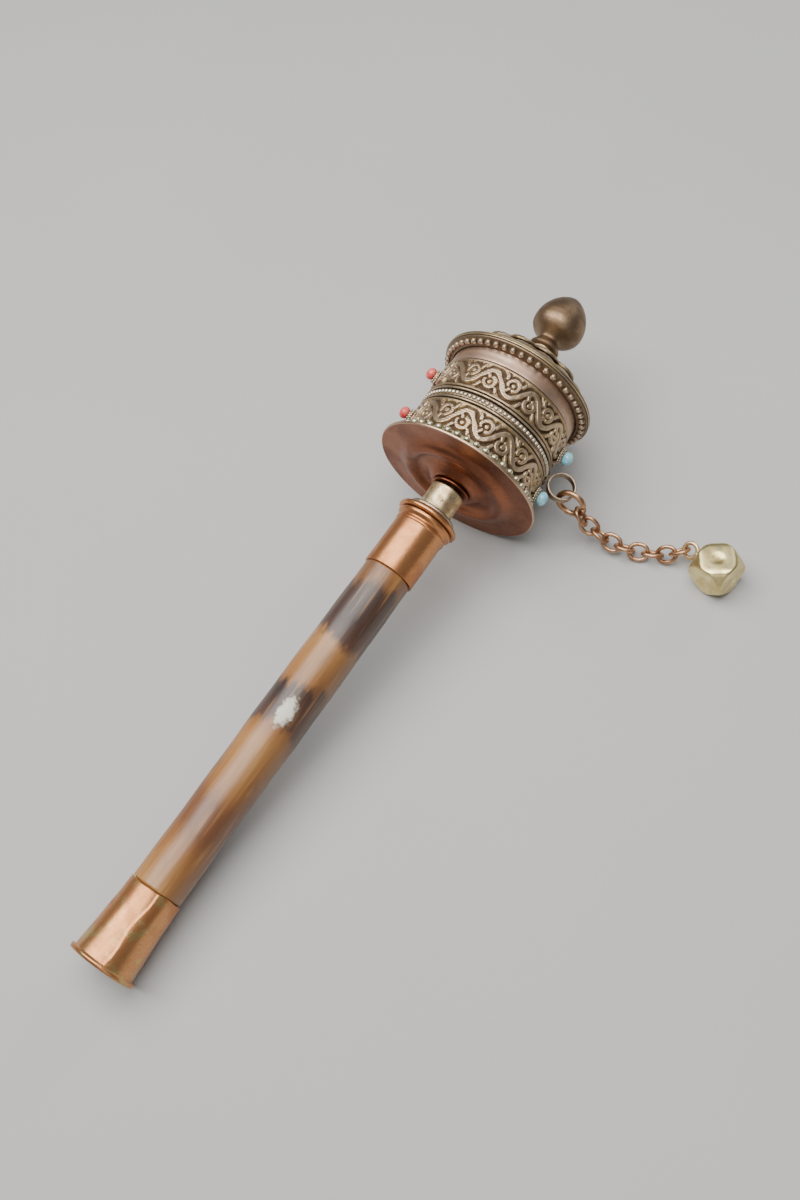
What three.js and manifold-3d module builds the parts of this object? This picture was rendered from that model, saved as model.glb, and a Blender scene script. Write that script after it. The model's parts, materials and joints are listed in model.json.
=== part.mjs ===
// A hand-held prayer wheel lying on its side: a horn grip between two copper ferrules, a drum that
// spins on the axle, a lid, a finial, and a short chain with a brass weight. Millimetres, +Z up.
// The origin is on the table at the middle of the whole object.
import * as THREE from "three";
import { ConvexGeometry } from "three/addons/geometries/ConvexGeometry.js";
import { mergeVertices } from "three/addons/utils/BufferGeometryUtils.js";
import Module from "manifold-3d";

const wasm = await Module();
wasm.setup();

// ---------------------------------------------------------------- driving dimensions
const GAP = 0.3; // between pieces that touch
const ROUND_STEPS = 36; // facets of the large round pieces
const SMALL_STEPS = 16; // facets of the small round pieces

// Along the wheel's axis, zero is the flat of the base disc and plus is towards the finial.
const discOverhang = 4.4; // how far the base disc stands out past the drum's bands
const discSheet = 0.9; // thickness of the pressed base disc
const discRidgeRadius = 15; // raised ring pressed into the underside
const discRidgeHeight = 2.2;
const discHubDepth = 2.7; // how far the middle of the disc is pushed out over the bushing
const drumRadius = 19.9;
const drumHeight = 33.1;
const drumWall = 0.7;
const reliefBandSheet = 0.7; // thickness of each embossed sleeve round the drum
const lowerBandStart = 3.2;
const lowerBandHeight = 10.4;
const beadBandHeight = 1.7; // between the two plain wires
const plainWireRadius = 0.45;
const upperBandHeight = 10;
const plainBandSheet = 0.4;
const footBeadRadius = 1;
const footBeadStandOff = 1.4; // how far the beads' middle stands out past the bands
const lidOverhang = 3.3; // how far the lid's rim stands out past the drum's bands
const lidRise = 11.5; // from the lid's rim to its neck
const lidSheet = 0.9;
const lidRimDepth = 1.6;
const lidBeadRadius = 0.95;
const neckRadius = 4.6;
const neckHeight = 2.4;
const finialRadius = 8;
const finialHeight = 20.4;
const axleRadius = 1.6;
const axleShareOfFinial = 0.55; // how far up the finial the axle reaches
const coreWall = 0.9;
const scrollRoom = 3.6; // between the wrapped scroll and the drum's wall
const scrollEndRoom = 4.8; // between the scroll and the lid
const scrollWrapSheet = 0.6;
const washerThickness = 0.6;
const washerOverhang = 0.7; // how far the lower washer stands out round the bushing
const leanRoom = 0.35; // between the washer and the bushing, because the drum leans
const upperWasherRadius = 3.6;

const gripRadius = 7.5;
const gripLength = 105; // the length of horn that shows
const lowerFerruleOverlap = 20; // how far the horn goes into each ferrule
const upperFerruleOverlap = 17;
const ferruleWall = 0.7;
const ferruleProud = 0.2; // how far a ferrule's outside stands out past the horn
const upperFerruleLength = 18.6;
const upperFlangeRadius = 9.6;
const upperFlangeThickness = 1.6;
const bushingRadius = 5.4;
const bushingLength = 9.3;
const bushingWall = 1.6;
const ropeRingRadius = 0.85;
const lowerFerruleLength = 23;
const lowerFerruleFlare = 1.9; // how much wider the sleeve is at its foot
const endRimRadius = 9.8;
const endRimThickness = 1.2;
const endPlateThickness = 1.1;

const coralRadius = 1.9;
const turquoiseRadius = 2.2;
const settingHeight = 1.2;
const settingLip = 0.45; // how far a setting stands out round its stone
const coralAngle = 119; // degrees round the drum from straight down
const turquoiseAngle = -76;

const chainRingRadius = 4.4;
const chainRingWall = 0.6;
const chainRingLength = 2.6;
const chainRingAngle = -69;
const chainRingStandOff = 0.5; // thickness of the pad between the ring and the drum
const jumpRingRadius = 4.1; // to the middle of the wire
const jumpWireRadius = 0.9;
const jumpOpening = 14; // degrees left open in the split ring
const jumpSplitAngle = 50; // where the opening is, in degrees from the ring's far end
const chainHangAngle = 30; // where the jump ring hangs, in degrees from the chain ring's outermost point
const padWidth = 4;
const padHeight = 5;
const linkOpeningLength = 4.4; // inside a chain link
const linkOpeningWidth = 3.6;
const linkWireRadius = 0.65;
const tableClearance = 0.03; // under the links that lie on the table
const weightAcross = 11.8; // between opposite square faces
const eyeRadius = 2.2; // to the middle of the wire
const eyeWireRadius = 0.65;
const eyeStandOff = 0.6;
const shankDepth = 3; // how far the eye's shank goes into the weight

// The drum leans a little against the handle, because the axle is bent at the bushing.
const drumYaw = 3.4; // degrees, seen from above
const drumPitch = 4.1; // degrees that the drum's axis rises above the table

// ---------------------------------------------------------------- sizes that follow
const DEG = Math.PI / 180;
const sleeveRadius = gripRadius + ferruleProud;
const seatRadius = sleeveRadius - ferruleWall - GAP; // the horn inside a ferrule
const boreRadius = axleRadius + GAP;
const washerStart = -discHubDepth - GAP - washerThickness;
const bushingEnd = washerStart - GAP - leanRoom;
const bushingStart = bushingEnd - bushingLength;
const flangeTop = bushingStart - GAP;
const flangeStart = flangeTop - upperFlangeThickness;
const upperFerruleEnd = flangeStart - GAP;
const upperFerruleStart = upperFerruleEnd - upperFerruleLength;
const lowerFerruleEnd = upperFerruleStart - gripLength;
const lowerFerruleStart = lowerFerruleEnd - lowerFerruleLength;
const rimFoot = lowerFerruleStart;
const drumStart = discSheet + GAP;
const drumEnd = drumStart + drumHeight;
const bandInner = drumRadius + GAP;
const bandOuter = bandInner + reliefBandSheet;
const discRadius = bandOuter + discOverhang;
const lidRadius = bandOuter + lidOverhang;
const lowerBandEnd = lowerBandStart + lowerBandHeight;
const lowerWireAt = lowerBandEnd + GAP + plainWireRadius;
const beadBandStart = lowerWireAt + plainWireRadius + GAP;
const beadBandEnd = beadBandStart + beadBandHeight;
const upperWireAt = beadBandEnd + GAP + plainWireRadius;
const upperBandStart = upperWireAt + plainWireRadius + GAP;
const upperBandEnd = upperBandStart + upperBandHeight;
const wireRingRadius = bandInner + plainWireRadius;
const lidSeat = drumEnd + GAP;
const lidRimAt = lidSeat + lidSheet;
const lidNeckAt = lidRimAt + lidRise;
const neckEnd = lidNeckAt + GAP + neckHeight;
const upperWasherStart = neckEnd + GAP;
const finialStart = upperWasherStart + washerThickness + GAP;
const axleEnd = finialStart + finialHeight * axleShareOfFinial;
const coreRadius = boreRadius + coreWall;
const coreStart = -discHubDepth + discSheet + GAP;
const coreEnd = lidNeckAt - lidSheet - GAP;
const scrollRadius = drumRadius - drumWall - scrollRoom - scrollWrapSheet - GAP;
const ringCentreRadius = bandOuter + GAP + chainRingStandOff + GAP + chainRingRadius;
const ringHeight = (beadBandStart + beadBandEnd) / 2;
const linkReach = linkOpeningLength / 2 + linkWireRadius; // to the middle of the wire
const linkHalfWidth = linkOpeningWidth / 2 + linkWireRadius;
const weightOffset = eyeRadius + eyeWireRadius + eyeStandOff + weightAcross / 2;

// ---------------------------------------------------------------- finishes
function metal(color, roughness) {
  return new THREE.MeshStandardMaterial({ color, roughness, metalness: 1 });
}

const copper = metal(0xa8603a, 0.32);
const redCopper = metal(0x7a4630, 0.42);
const bronze = metal(0x7d6a4c, 0.45);
const paleBrass = metal(0xb8a070, 0.38);
const weightBrass = metal(0xb9a86c, 0.3);
const steel = metal(0x8c8c88, 0.4);
const finialBronze = metal(0x6c5443, 0.45);
const horn = new THREE.MeshStandardMaterial({ color: 0x8f5a2c, roughness: 0.25, metalness: 0 });
const coral = new THREE.MeshStandardMaterial({ color: 0xb5464a, roughness: 0.4, metalness: 0 });
const turquoise = new THREE.MeshStandardMaterial({ color: 0x8cc9cf, roughness: 0.35, metalness: 0 });
const paper = new THREE.MeshStandardMaterial({ color: 0xd9cba6, roughness: 0.9, metalness: 0 });
const cloth = new THREE.MeshStandardMaterial({ color: 0xb58a3c, roughness: 0.95, metalness: 0 });

// ---------------------------------------------------------------- helpers
function named(name, geometry, material) {
  const mesh = new THREE.Mesh(geometry, material);
  mesh.name = name;
  return mesh;
}

// A closed profile of [radius, height] points turned round the local Z axis.
function turned(points, steps = ROUND_STEPS) {
  const profile = points.map(([r, z]) => new THREE.Vector2(r, z));
  if (points[0][0] > 0) {
    profile.push(profile[0].clone());
  }
  const geometry = new THREE.LatheGeometry(profile, steps);
  geometry.rotateX(Math.PI / 2);
  // A facet, not an edge, lies straight down, so the round pieces rest on a flat.
  geometry.rotateZ(Math.PI / steps);
  return geometry;
}

function tube(inner, outer, start, end, steps) {
  const section = [
    [inner, start],
    [outer, start],
    [outer, end],
    [inner, end],
  ];
  return turned(section, steps);
}

function wireRing(radius, wire, at, steps = ROUND_STEPS, sides = 6) {
  const geometry = new THREE.TorusGeometry(radius, wire, sides, steps);
  geometry.rotateZ(Math.PI / steps);
  geometry.translate(0, 0, at);
  return geometry;
}

function arc(cx, cy, radius, from, to, steps) {
  return Array.from({ length: steps + 1 }, (_, i) => {
    const angle = (from + ((to - from) * i) / steps) * DEG;
    return [cx + radius * Math.cos(angle), cy + radius * Math.sin(angle)];
  });
}

function manifoldOf(geometry) {
  const bare = geometry.clone();
  bare.deleteAttribute("normal");
  bare.deleteAttribute("uv");
  const merged = mergeVertices(bare.index ? bare.toNonIndexed() : bare, 1e-3);
  const mesh = new wasm.Mesh({
    numProp: 3,
    vertProperties: merged.attributes.position.array,
    triVerts: new Uint32Array(merged.index.array),
  });
  return new wasm.Manifold(mesh);
}

function geometryOf(manifold) {
  const mesh = manifold.getMesh();
  const geometry = new THREE.BufferGeometry();
  geometry.setAttribute("position", new THREE.BufferAttribute(mesh.vertProperties, 3));
  geometry.setIndex(new THREE.BufferAttribute(mesh.triVerts, 1));
  return geometry;
}

function drilled(geometry, drill) {
  return geometryOf(manifoldOf(geometry).subtract(manifoldOf(drill)));
}

function rod(radius, start, end, steps = 16) {
  return turned([[0, start], [radius, start], [radius, end], [0, end]], steps);
}

class Oval extends THREE.Curve {
  constructor(halfLength, halfWidth) {
    super();
    this.halfLength = halfLength;
    this.halfWidth = halfWidth;
  }

  getPoint(t) {
    const angle = 2 * Math.PI * t;
    return new THREE.Vector3(this.halfLength * Math.cos(angle), this.halfWidth * Math.sin(angle), 0);
  }
}

// A round wire carried along a path.
function wireAlong(path, radius, steps, sides) {
  const section = new THREE.Shape();
  section.absarc(0, 0, radius, 0, 2 * Math.PI);
  const options = { steps, curveSegments: sides / 2, bevelEnabled: false, extrudePath: path };
  return new THREE.ExtrudeGeometry(section, options);
}

// ---------------------------------------------------------------- the handle
function lowerFerrule() {
  const outside = [
    [sleeveRadius, lowerFerruleEnd],
    [sleeveRadius + 0.15 * lowerFerruleFlare, lowerFerruleEnd - 0.4 * lowerFerruleLength],
    [sleeveRadius + 0.6 * lowerFerruleFlare, rimFoot + 0.2 * lowerFerruleLength],
    [endRimRadius - 0.7, rimFoot + endRimThickness + 0.5],
    [endRimRadius, rimFoot + endRimThickness],
    [endRimRadius, rimFoot],
  ];
  const lip = endRimRadius - 1;
  const inside = [
    [lip, rimFoot],
    [lip, rimFoot + endRimThickness],
    [sleeveRadius + 0.6 * lowerFerruleFlare - ferruleWall, rimFoot + 0.2 * lowerFerruleLength],
    [sleeveRadius - ferruleWall, lowerFerruleEnd - 0.4 * lowerFerruleLength],
    [sleeveRadius - ferruleWall, lowerFerruleEnd],
  ];
  return turned([...outside, ...inside].reverse());
}

function endPlate() {
  const radius = endRimRadius - 1 - GAP;
  const top = rimFoot + endRimThickness;
  const dome = [
    [0, top - endPlateThickness],
    [0.6 * radius, top - endPlateThickness + 0.1],
    [radius, rimFoot + 0.3],
    [radius, top],
    [0, top],
  ];
  return turned(dome);
}

function grip() {
  const start = lowerFerruleEnd - lowerFerruleOverlap;
  const end = upperFerruleStart + upperFerruleOverlap;
  const step = GAP;
  const section = [
    [boreRadius, start],
    [seatRadius, start],
    [seatRadius, lowerFerruleEnd + GAP],
    [gripRadius, lowerFerruleEnd + GAP + step],
    [gripRadius, upperFerruleStart - GAP - step],
    [seatRadius, upperFerruleStart - GAP],
    [seatRadius, end],
    [boreRadius, end],
  ];
  return turned(section);
}

function upperFerrule() {
  const lip = upperFlangeRadius - 0.9;
  const outside = [
    [sleeveRadius, upperFerruleStart],
    [sleeveRadius, upperFerruleEnd - 2.2],
    [lip, upperFerruleEnd - 1.1],
    [lip, upperFerruleEnd],
  ];
  const inside = [
    [lip - ferruleWall, upperFerruleEnd],
    [sleeveRadius - ferruleWall, upperFerruleEnd - 2],
    [sleeveRadius - ferruleWall, upperFerruleStart],
  ];
  return turned([...outside, ...inside]);
}

function upperFlange() {
  const half = upperFlangeThickness / 2;
  const middle = flangeStart + half;
  const edge = arc(upperFlangeRadius - half, middle, half, -90, 90, 3);
  return turned([[boreRadius, flangeStart], ...edge, [boreRadius, flangeTop]]);
}

function ropeRing() {
  const radius = bushingRadius + GAP + ropeRingRadius;
  const geometry = wireRing(radius, ropeRingRadius, 0, 32);
  geometry.translate(0, 0, flangeTop + GAP + ropeRingRadius);
  return geometry;
}

function bushing() {
  return tube(bushingRadius - bushingWall, bushingRadius, bushingStart, bushingEnd, SMALL_STEPS);
}

// ---------------------------------------------------------------- the drum
function baseDisc() {
  const crest = discRidgeRadius;
  const under = [
    [boreRadius, -discHubDepth],
    [bushingRadius + 1.3, -discHubDepth],
    [bushingRadius + 2.8, -discHubDepth + 0.8],
    [bushingRadius + 4.8, -0.2],
    [crest - 3.3, 0],
    [crest - 1.8, -0.45 * discRidgeHeight],
    [crest - 0.7, -0.92 * discRidgeHeight],
    [crest + 0.7, -0.92 * discRidgeHeight],
    [crest + 1.8, -0.45 * discRidgeHeight],
    [crest + 3.1, -0.1],
    [discRadius, 0],
  ];
  const upper = under.map(([r, z]) => [r, z + discSheet]).reverse();
  return turned([...under, ...upper]);
}

function washer(radius, start) {
  return tube(boreRadius, radius, start, start + washerThickness, SMALL_STEPS);
}

function footBeads() {
  return wireRing(bandOuter + footBeadStandOff, footBeadRadius, discSheet + GAP + footBeadRadius);
}

function lid() {
  const slope = [
    [lidRadius, lidSeat],
    [lidRadius, lidRimAt + lidRimDepth - 0.4],
    [lidRadius - 0.8, lidRimAt + lidRimDepth],
    [0.72 * lidRadius, lidRimAt + 0.36 * lidRise],
    [0.4 * lidRadius, lidRimAt + 0.72 * lidRise],
    [neckRadius + 1.4, lidNeckAt],
    [boreRadius, lidNeckAt],
  ];
  const ceiling = [
    [boreRadius, lidNeckAt - lidSheet],
    [neckRadius + 0.6, lidNeckAt - lidSheet],
    [0.4 * lidRadius - 0.4, lidRimAt + 0.72 * lidRise - lidSheet],
    [0.72 * lidRadius - 0.4, lidRimAt + 0.36 * lidRise - lidSheet],
    [drumRadius - drumWall, lidSeat + lidSheet],
    [drumRadius - drumWall, lidSeat],
  ];
  return turned([...slope, ...ceiling]);
}

function lidBeads() {
  const radius = (drumRadius + lidRadius) / 2 + 0.3;
  return wireRing(radius, lidBeadRadius, lidSeat - GAP - lidBeadRadius);
}

function petalCollar() {
  const height = 0.36 * lidRise;
  const foot = [0.72 * lidRadius + 0.2, lidRimAt + height + 0.5];
  const top = [0.4 * lidRadius + 0.2, lidRimAt + 2 * height + 0.5];
  const sheet = 0.7;
  return turned([foot, [foot[0] + 0.3, foot[1] + sheet], [top[0] + 0.3, top[1] + sheet], top]);
}

function neck() {
  const start = lidNeckAt + GAP;
  const section = [
    [boreRadius, start],
    [neckRadius + 0.9, start],
    [neckRadius + 0.9, start + 0.35 * neckHeight],
    [neckRadius - 0.6, start + 0.55 * neckHeight],
    [neckRadius, neckEnd],
    [boreRadius, neckEnd],
  ];
  return turned(section, SMALL_STEPS);
}

function finial() {
  const h = finialHeight;
  const z = finialStart;
  const r = finialRadius;
  const outline = [
    [0, z],
    [0.6 * r, z],
    [0.62 * r, z + 0.07 * h],
    [0.42 * r, z + 0.13 * h],
    [0.46 * r, z + 0.18 * h],
    [0.74 * r, z + 0.24 * h],
    [0.93 * r, z + 0.32 * h],
    [r, z + 0.43 * h],
    [0.98 * r, z + 0.55 * h],
    [0.9 * r, z + 0.67 * h],
    [0.71 * r, z + 0.79 * h],
    [0.44 * r, z + 0.9 * h],
    [0.2 * r, z + 0.97 * h],
    [0, z + h],
  ];
  return drilled(turned(outline, 24), rod(boreRadius, z - 1, axleEnd + GAP));
}

// A setting or stone stands on the drum at an angle round it and a height along it.
function onDrum(mesh, angle, height, radius) {
  const turn = new THREE.Group();
  turn.rotation.z = angle * DEG;
  mesh.position.set(radius, 0, height);
  mesh.rotation.y = Math.PI / 2;
  turn.add(mesh);
  return turn;
}

function setting(radius) {
  const base = [
    [0, 0],
    [radius + settingLip, 0],
    [radius + settingLip, 0.7 * settingHeight],
    [radius, settingHeight],
    [radius - 0.3, 0.6 * settingHeight],
    [0, 0.6 * settingHeight],
  ];
  return turned(base, 12);
}

function stone(radius) {
  const foot = 0.6 * settingHeight + GAP;
  const seat = 0.55 * radius;
  const dome = arc(0, foot + 0.35 * radius, radius, 0, 90, 5).slice(0, -1);
  return turned([[0, foot], [seat, foot], ...dome, [0, foot + 1.35 * radius]], 12);
}

// ---------------------------------------------------------------- the chain
// One row for each piece from the jump ring to the last link: its heading in degrees from -Y towards
// +X, how steeply it falls until it lies on the table, and its roll. The last two rise to the eye.
const restHeight = linkHalfWidth * Math.SQRT1_2 + linkWireRadius + tableClearance;
const eyeHeight = weightAcross / 2;
const chainRoute = [
  [-3, 48, 78],
  [2, 56, -30],
  [0, 34, 52],
  [1, 24, -42],
  [6, 10, 46],
  [16, 10, -45],
  [21, 10, 45],
  [22, 10, -45],
  [28, 10, 45],
  [30, 10, -45],
];
const eyeHeading = -11;
const eyeRoll = 45;

// The unit vectors along, across and normal to a link that runs at a heading, a rise and a roll.
function linkBasis(heading, sine, roll) {
  const level = Math.sqrt(1 - sine * sine);
  const along = new THREE.Vector3(
    Math.sin(heading * DEG) * level,
    -Math.cos(heading * DEG) * level,
    sine,
  );
  const side = new THREE.Vector3().crossVectors(along, new THREE.Vector3(0, 0, 1)).normalize();
  const normal = new THREE.Vector3().crossVectors(side, along).multiplyScalar(Math.cos(roll * DEG));
  normal.addScaledVector(side, Math.sin(roll * DEG));
  const across = new THREE.Vector3().crossVectors(normal, along);
  return { along, across, normal };
}

function place(mesh, basis, centre) {
  const turn = new THREE.Matrix4().makeBasis(basis.along, basis.across, basis.normal);
  mesh.quaternion.setFromRotationMatrix(turn);
  mesh.position.copy(centre);
  return mesh;
}

// The split ring's two ends stand apart at one side of its far end.
function jumpRing() {
  const half = jumpOpening / 2;
  const ring = new THREE.EllipseCurve(0, 0, jumpRingRadius, jumpRingRadius);
  ring.aStartAngle = (jumpSplitAngle + half) * DEG;
  ring.aEndAngle = (jumpSplitAngle - half + 360) * DEG;
  const points = ring.getSpacedPoints(24).map(({ x, y }) => new THREE.Vector3(x, y, 0));
  return wireAlong(new THREE.CatmullRomCurve3(points), jumpWireRadius, 20, 8);
}

function chainLink() {
  return new THREE.TubeGeometry(new Oval(linkReach, linkHalfWidth), 14, linkWireRadius, 6, true);
}

// The eye's ring lies round its own centre and its shank runs along +X into the weight.
function weightEye() {
  const ring = new THREE.TorusGeometry(eyeRadius, eyeWireRadius, 8, 14);
  const shank = rod(eyeWireRadius - 0.05, eyeRadius, weightOffset - weightAcross / 2 + shankDepth, 12);
  shank.rotateY(Math.PI / 2);
  return geometryOf(manifoldOf(ring).add(manifoldOf(shank)));
}

// A cube whose corners are cut back to the middles of its edges, drilled for the eye's shank.
function weight() {
  const half = weightAcross / 2;
  const corners = [];
  for (const a of [-half, half]) {
    for (const b of [-half, half]) {
      corners.push(new THREE.Vector3(a, b, 0), new THREE.Vector3(a, 0, b), new THREE.Vector3(0, a, b));
    }
  }
  const drill = rod(eyeWireRadius + GAP, -half - 1, -half + shankDepth + GAP, 12);
  drill.rotateY(Math.PI / 2);
  return drilled(new ConvexGeometry(corners), drill);
}

// ---------------------------------------------------------------- assembly
// Both frames start at the middle of the base disc, with +Z along the axis and +X downwards.
function axisFrame(yaw, pitch, height) {
  const frame = new THREE.Group();
  frame.rotation.set(0, Math.PI / 2 - pitch, yaw, "ZYX");
  frame.position.z = height;
  return frame;
}

const flatShare = Math.cos(Math.PI / ROUND_STEPS); // a facet's middle against its corners
const discHeight = discRadius * flatShare * Math.cos(drumPitch * DEG);
const rimFlat = endRimRadius * flatShare;
const handlePitch = Math.asin(discHeight / Math.hypot(rimFoot, rimFlat)) - Math.atan2(rimFlat, -rimFoot);
const handle = axisFrame(0, handlePitch, discHeight);
const wheel = axisFrame(drumYaw * DEG, drumPitch * DEG, discHeight);
const prayerWheel = new THREE.Group();
prayerWheel.add(handle, wheel);
prayerWheel.updateMatrixWorld(true);

function axleRod() {
  const bend = new THREE.Vector3(0, 0, discHeight);
  const foot = handle.localToWorld(new THREE.Vector3(0, 0, rimFoot + endRimThickness + GAP));
  const tip = wheel.localToWorld(new THREE.Vector3(0, 0, axleEnd));
  const path = new THREE.CurvePath();
  path.add(new THREE.LineCurve3(foot, bend));
  path.add(new THREE.LineCurve3(bend, tip));
  return wireAlong(path, axleRadius, 44, 8);
}

handle.add(
  named("end_plate", endPlate(), paleBrass),
  named("lower_ferrule", lowerFerrule(), copper),
  named("grip", grip(), horn),
  named("upper_ferrule", upperFerrule(), copper),
  named("upper_flange", upperFlange(), copper),
  named("rope_ring", ropeRing(), paleBrass),
  named("bushing", bushing(), paleBrass),
);
prayerWheel.add(named("axle_rod", axleRod(), steel));

const scrollStart = drumStart + GAP;
const scrollEnd = drumEnd - scrollEndRoom;
wheel.add(
  named("lower_washer", washer(bushingRadius + washerOverhang, washerStart), bronze),
  named("base_disc", baseDisc(), redCopper),
  named("foot_beads", footBeads(), paleBrass),
  named("drum_shell", tube(drumRadius - drumWall, drumRadius, drumStart, drumEnd), copper),
  named("lower_relief_band", tube(bandInner, bandOuter, lowerBandStart, lowerBandEnd), bronze),
  named("lower_wire", wireRing(wireRingRadius, plainWireRadius, lowerWireAt), bronze),
  named("bead_band", tube(bandInner, bandOuter, beadBandStart, beadBandEnd), paleBrass),
  named("upper_wire", wireRing(wireRingRadius, plainWireRadius, upperWireAt), bronze),
  named("upper_relief_band", tube(bandInner, bandOuter, upperBandStart, upperBandEnd), bronze),
  named("plain_band", tube(bandInner, bandInner + plainBandSheet, upperBandEnd + GAP, drumEnd), copper),
  named("core_tube", tube(boreRadius, coreRadius, coreStart, coreEnd, SMALL_STEPS), paleBrass),
  named("scroll", tube(coreRadius + GAP, scrollRadius, scrollStart, scrollEnd, 32), paper),
  named(
    "scroll_wrap",
    tube(scrollRadius + GAP, scrollRadius + GAP + scrollWrapSheet, scrollStart, scrollEnd, 32),
    cloth,
  ),
  named("lid", lid(), bronze),
  named("lid_beads", lidBeads(), paleBrass),
  named("petal_collar", petalCollar(), bronze),
  named("neck", neck(), paleBrass),
  named("upper_washer", washer(upperWasherRadius, upperWasherStart), paleBrass),
  named("finial", finial(), finialBronze),
);

const stones = [
  { name: "coral", radius: coralRadius, angle: coralAngle, material: coral },
  { name: "turquoise", radius: turquoiseRadius, angle: turquoiseAngle, material: turquoise },
];
const bandMiddles = {
  lower: (lowerBandStart + lowerBandEnd) / 2,
  upper: (upperBandStart + upperBandEnd) / 2,
};
for (const { name, radius, angle, material } of stones) {
  for (const [row, height] of Object.entries(bandMiddles)) {
    const cup = named(`${name}_setting_${row}`, setting(radius), paleBrass);
    const gem = named(`${name}_${row}`, stone(radius), material);
    wheel.add(onDrum(cup, angle, height, bandOuter + GAP), onDrum(gem, angle, height, bandOuter + GAP));
  }
}

const ringTurn = new THREE.Group();
ringTurn.rotation.z = chainRingAngle * DEG;
const pad = named("chain_ring_pad", new THREE.BoxGeometry(chainRingStandOff, padWidth, padHeight), paleBrass);
pad.position.set(bandOuter + GAP + chainRingStandOff / 2, 0, ringHeight);
const ringTube = tube(
  chainRingRadius - chainRingWall,
  chainRingRadius,
  -chainRingLength / 2,
  chainRingLength / 2,
  SMALL_STEPS,
);
const chainRing = named("chain_ring", ringTube, bronze);
chainRing.position.set(ringCentreRadius, 0, ringHeight);
chainRing.rotation.x = -Math.PI / 2;
ringTurn.add(pad, chainRing);
wheel.add(ringTurn);
prayerWheel.updateMatrixWorld(true);

// Each piece of the chain turns about the middle of the wire that it hangs from.
const wallMiddle = chainRingRadius - chainRingWall / 2;
const hangAngle = chainHangAngle * DEG;
const hangPoint = new THREE.Vector3(
  ringCentreRadius + wallMiddle * Math.cos(hangAngle),
  0,
  ringHeight - wallMiddle * Math.sin(hangAngle),
);
const chainPivots = [ringTurn.localToWorld(hangPoint)];
const wallReach = Math.hypot(chainRingWall, chainRingLength) / 2;

// Hangs a piece from the last pivot and adds the pivot at its own far end.
function hang(name, geometry, reach, offset, basis) {
  const from = chainPivots.at(-1);
  const centre = from.clone().addScaledVector(basis.along, reach - offset);
  prayerWheel.add(place(named(name, geometry, copper), basis, centre));
  chainPivots.push(from.clone().addScaledVector(basis.along, 2 * reach - offset));
}

const jumpOffset = wallReach + GAP + jumpWireRadius;
const firstLinkOffset = jumpWireRadius + GAP + linkWireRadius;
const linkOffset = 2 * linkWireRadius + GAP;
chainRoute.forEach(([heading, fall, roll], i) => {
  const [reach, offset] = [
    i === 0 ? jumpRingRadius : linkReach,
    [jumpOffset, firstLinkOffset][i] ?? linkOffset,
  ];
  const span = 2 * reach - offset;
  const height = chainPivots.at(-1).z;
  const left = chainRoute.length - i;
  const target = left <= 2 ? height + (eyeHeight - height) / left : restHeight;
  const drop = Math.min(height - target, span * Math.sin(fall * DEG));
  const basis = linkBasis(heading, -drop / span, roll);
  hang(i === 0 ? "jump_ring" : `link_${i}`, i === 0 ? jumpRing() : chainLink(), reach, offset, basis);
});

const eyeOffset = linkWireRadius + GAP + eyeWireRadius;
const eyeBasis = linkBasis(eyeHeading, 0, eyeRoll);
const eyeCentre = chainPivots.at(-1).clone().addScaledVector(eyeBasis.along, eyeRadius - eyeOffset);
prayerWheel.add(place(named("weight_eye", weightEye(), paleBrass), eyeBasis, eyeCentre));
const weightCentre = eyeCentre.clone().addScaledVector(eyeBasis.along, weightOffset);
prayerWheel.add(place(named("weight", weight(), weightBrass), linkBasis(eyeHeading, 0, 0), weightCentre));

// The object stands on z = 0 with its box centred on the origin.
const box = new THREE.Box3().setFromObject(prayerWheel, true);
const middle = box.getCenter(new THREE.Vector3());
prayerWheel.position.set(-middle.x, -middle.y, -box.min.z);

export default prayerWheel;
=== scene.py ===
import json
import math

import bpy
import numpy as np
from mathutils import Matrix, Vector


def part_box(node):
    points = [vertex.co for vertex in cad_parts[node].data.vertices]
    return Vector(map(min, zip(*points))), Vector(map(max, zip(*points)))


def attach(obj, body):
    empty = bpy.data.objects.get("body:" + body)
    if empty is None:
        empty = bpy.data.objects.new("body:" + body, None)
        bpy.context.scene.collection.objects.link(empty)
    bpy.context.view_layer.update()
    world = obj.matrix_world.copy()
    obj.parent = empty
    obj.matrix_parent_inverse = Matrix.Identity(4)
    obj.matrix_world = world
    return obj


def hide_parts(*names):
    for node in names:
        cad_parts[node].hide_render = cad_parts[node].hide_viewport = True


# Looks for a hand-held prayer wheel that lies on its side. Shapes are worked out in millimetres in
# the frame of the handle, of the drum or of one chain piece, where z runs along the axis. They are
# turned into metres in the row frame as the last step, so every object sits at the origin.

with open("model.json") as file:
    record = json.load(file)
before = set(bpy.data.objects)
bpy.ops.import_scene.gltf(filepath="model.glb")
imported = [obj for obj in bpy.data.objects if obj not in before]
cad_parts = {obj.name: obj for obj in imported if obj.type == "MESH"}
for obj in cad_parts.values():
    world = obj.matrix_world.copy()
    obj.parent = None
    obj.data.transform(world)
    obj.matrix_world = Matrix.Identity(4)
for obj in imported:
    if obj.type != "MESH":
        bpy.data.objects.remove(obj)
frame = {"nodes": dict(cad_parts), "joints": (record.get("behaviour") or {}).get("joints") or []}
NODES = frame["nodes"]
JOINTS = {joint["name"]: joint for joint in frame["joints"]}
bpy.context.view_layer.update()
MM = 0.001
UP = np.array([0.0, 0.0, 1.0])
TURN = 2 * math.pi
WHEEL_FOOT = np.array(JOINTS["drum_spin"]["pos_m"])


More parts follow.
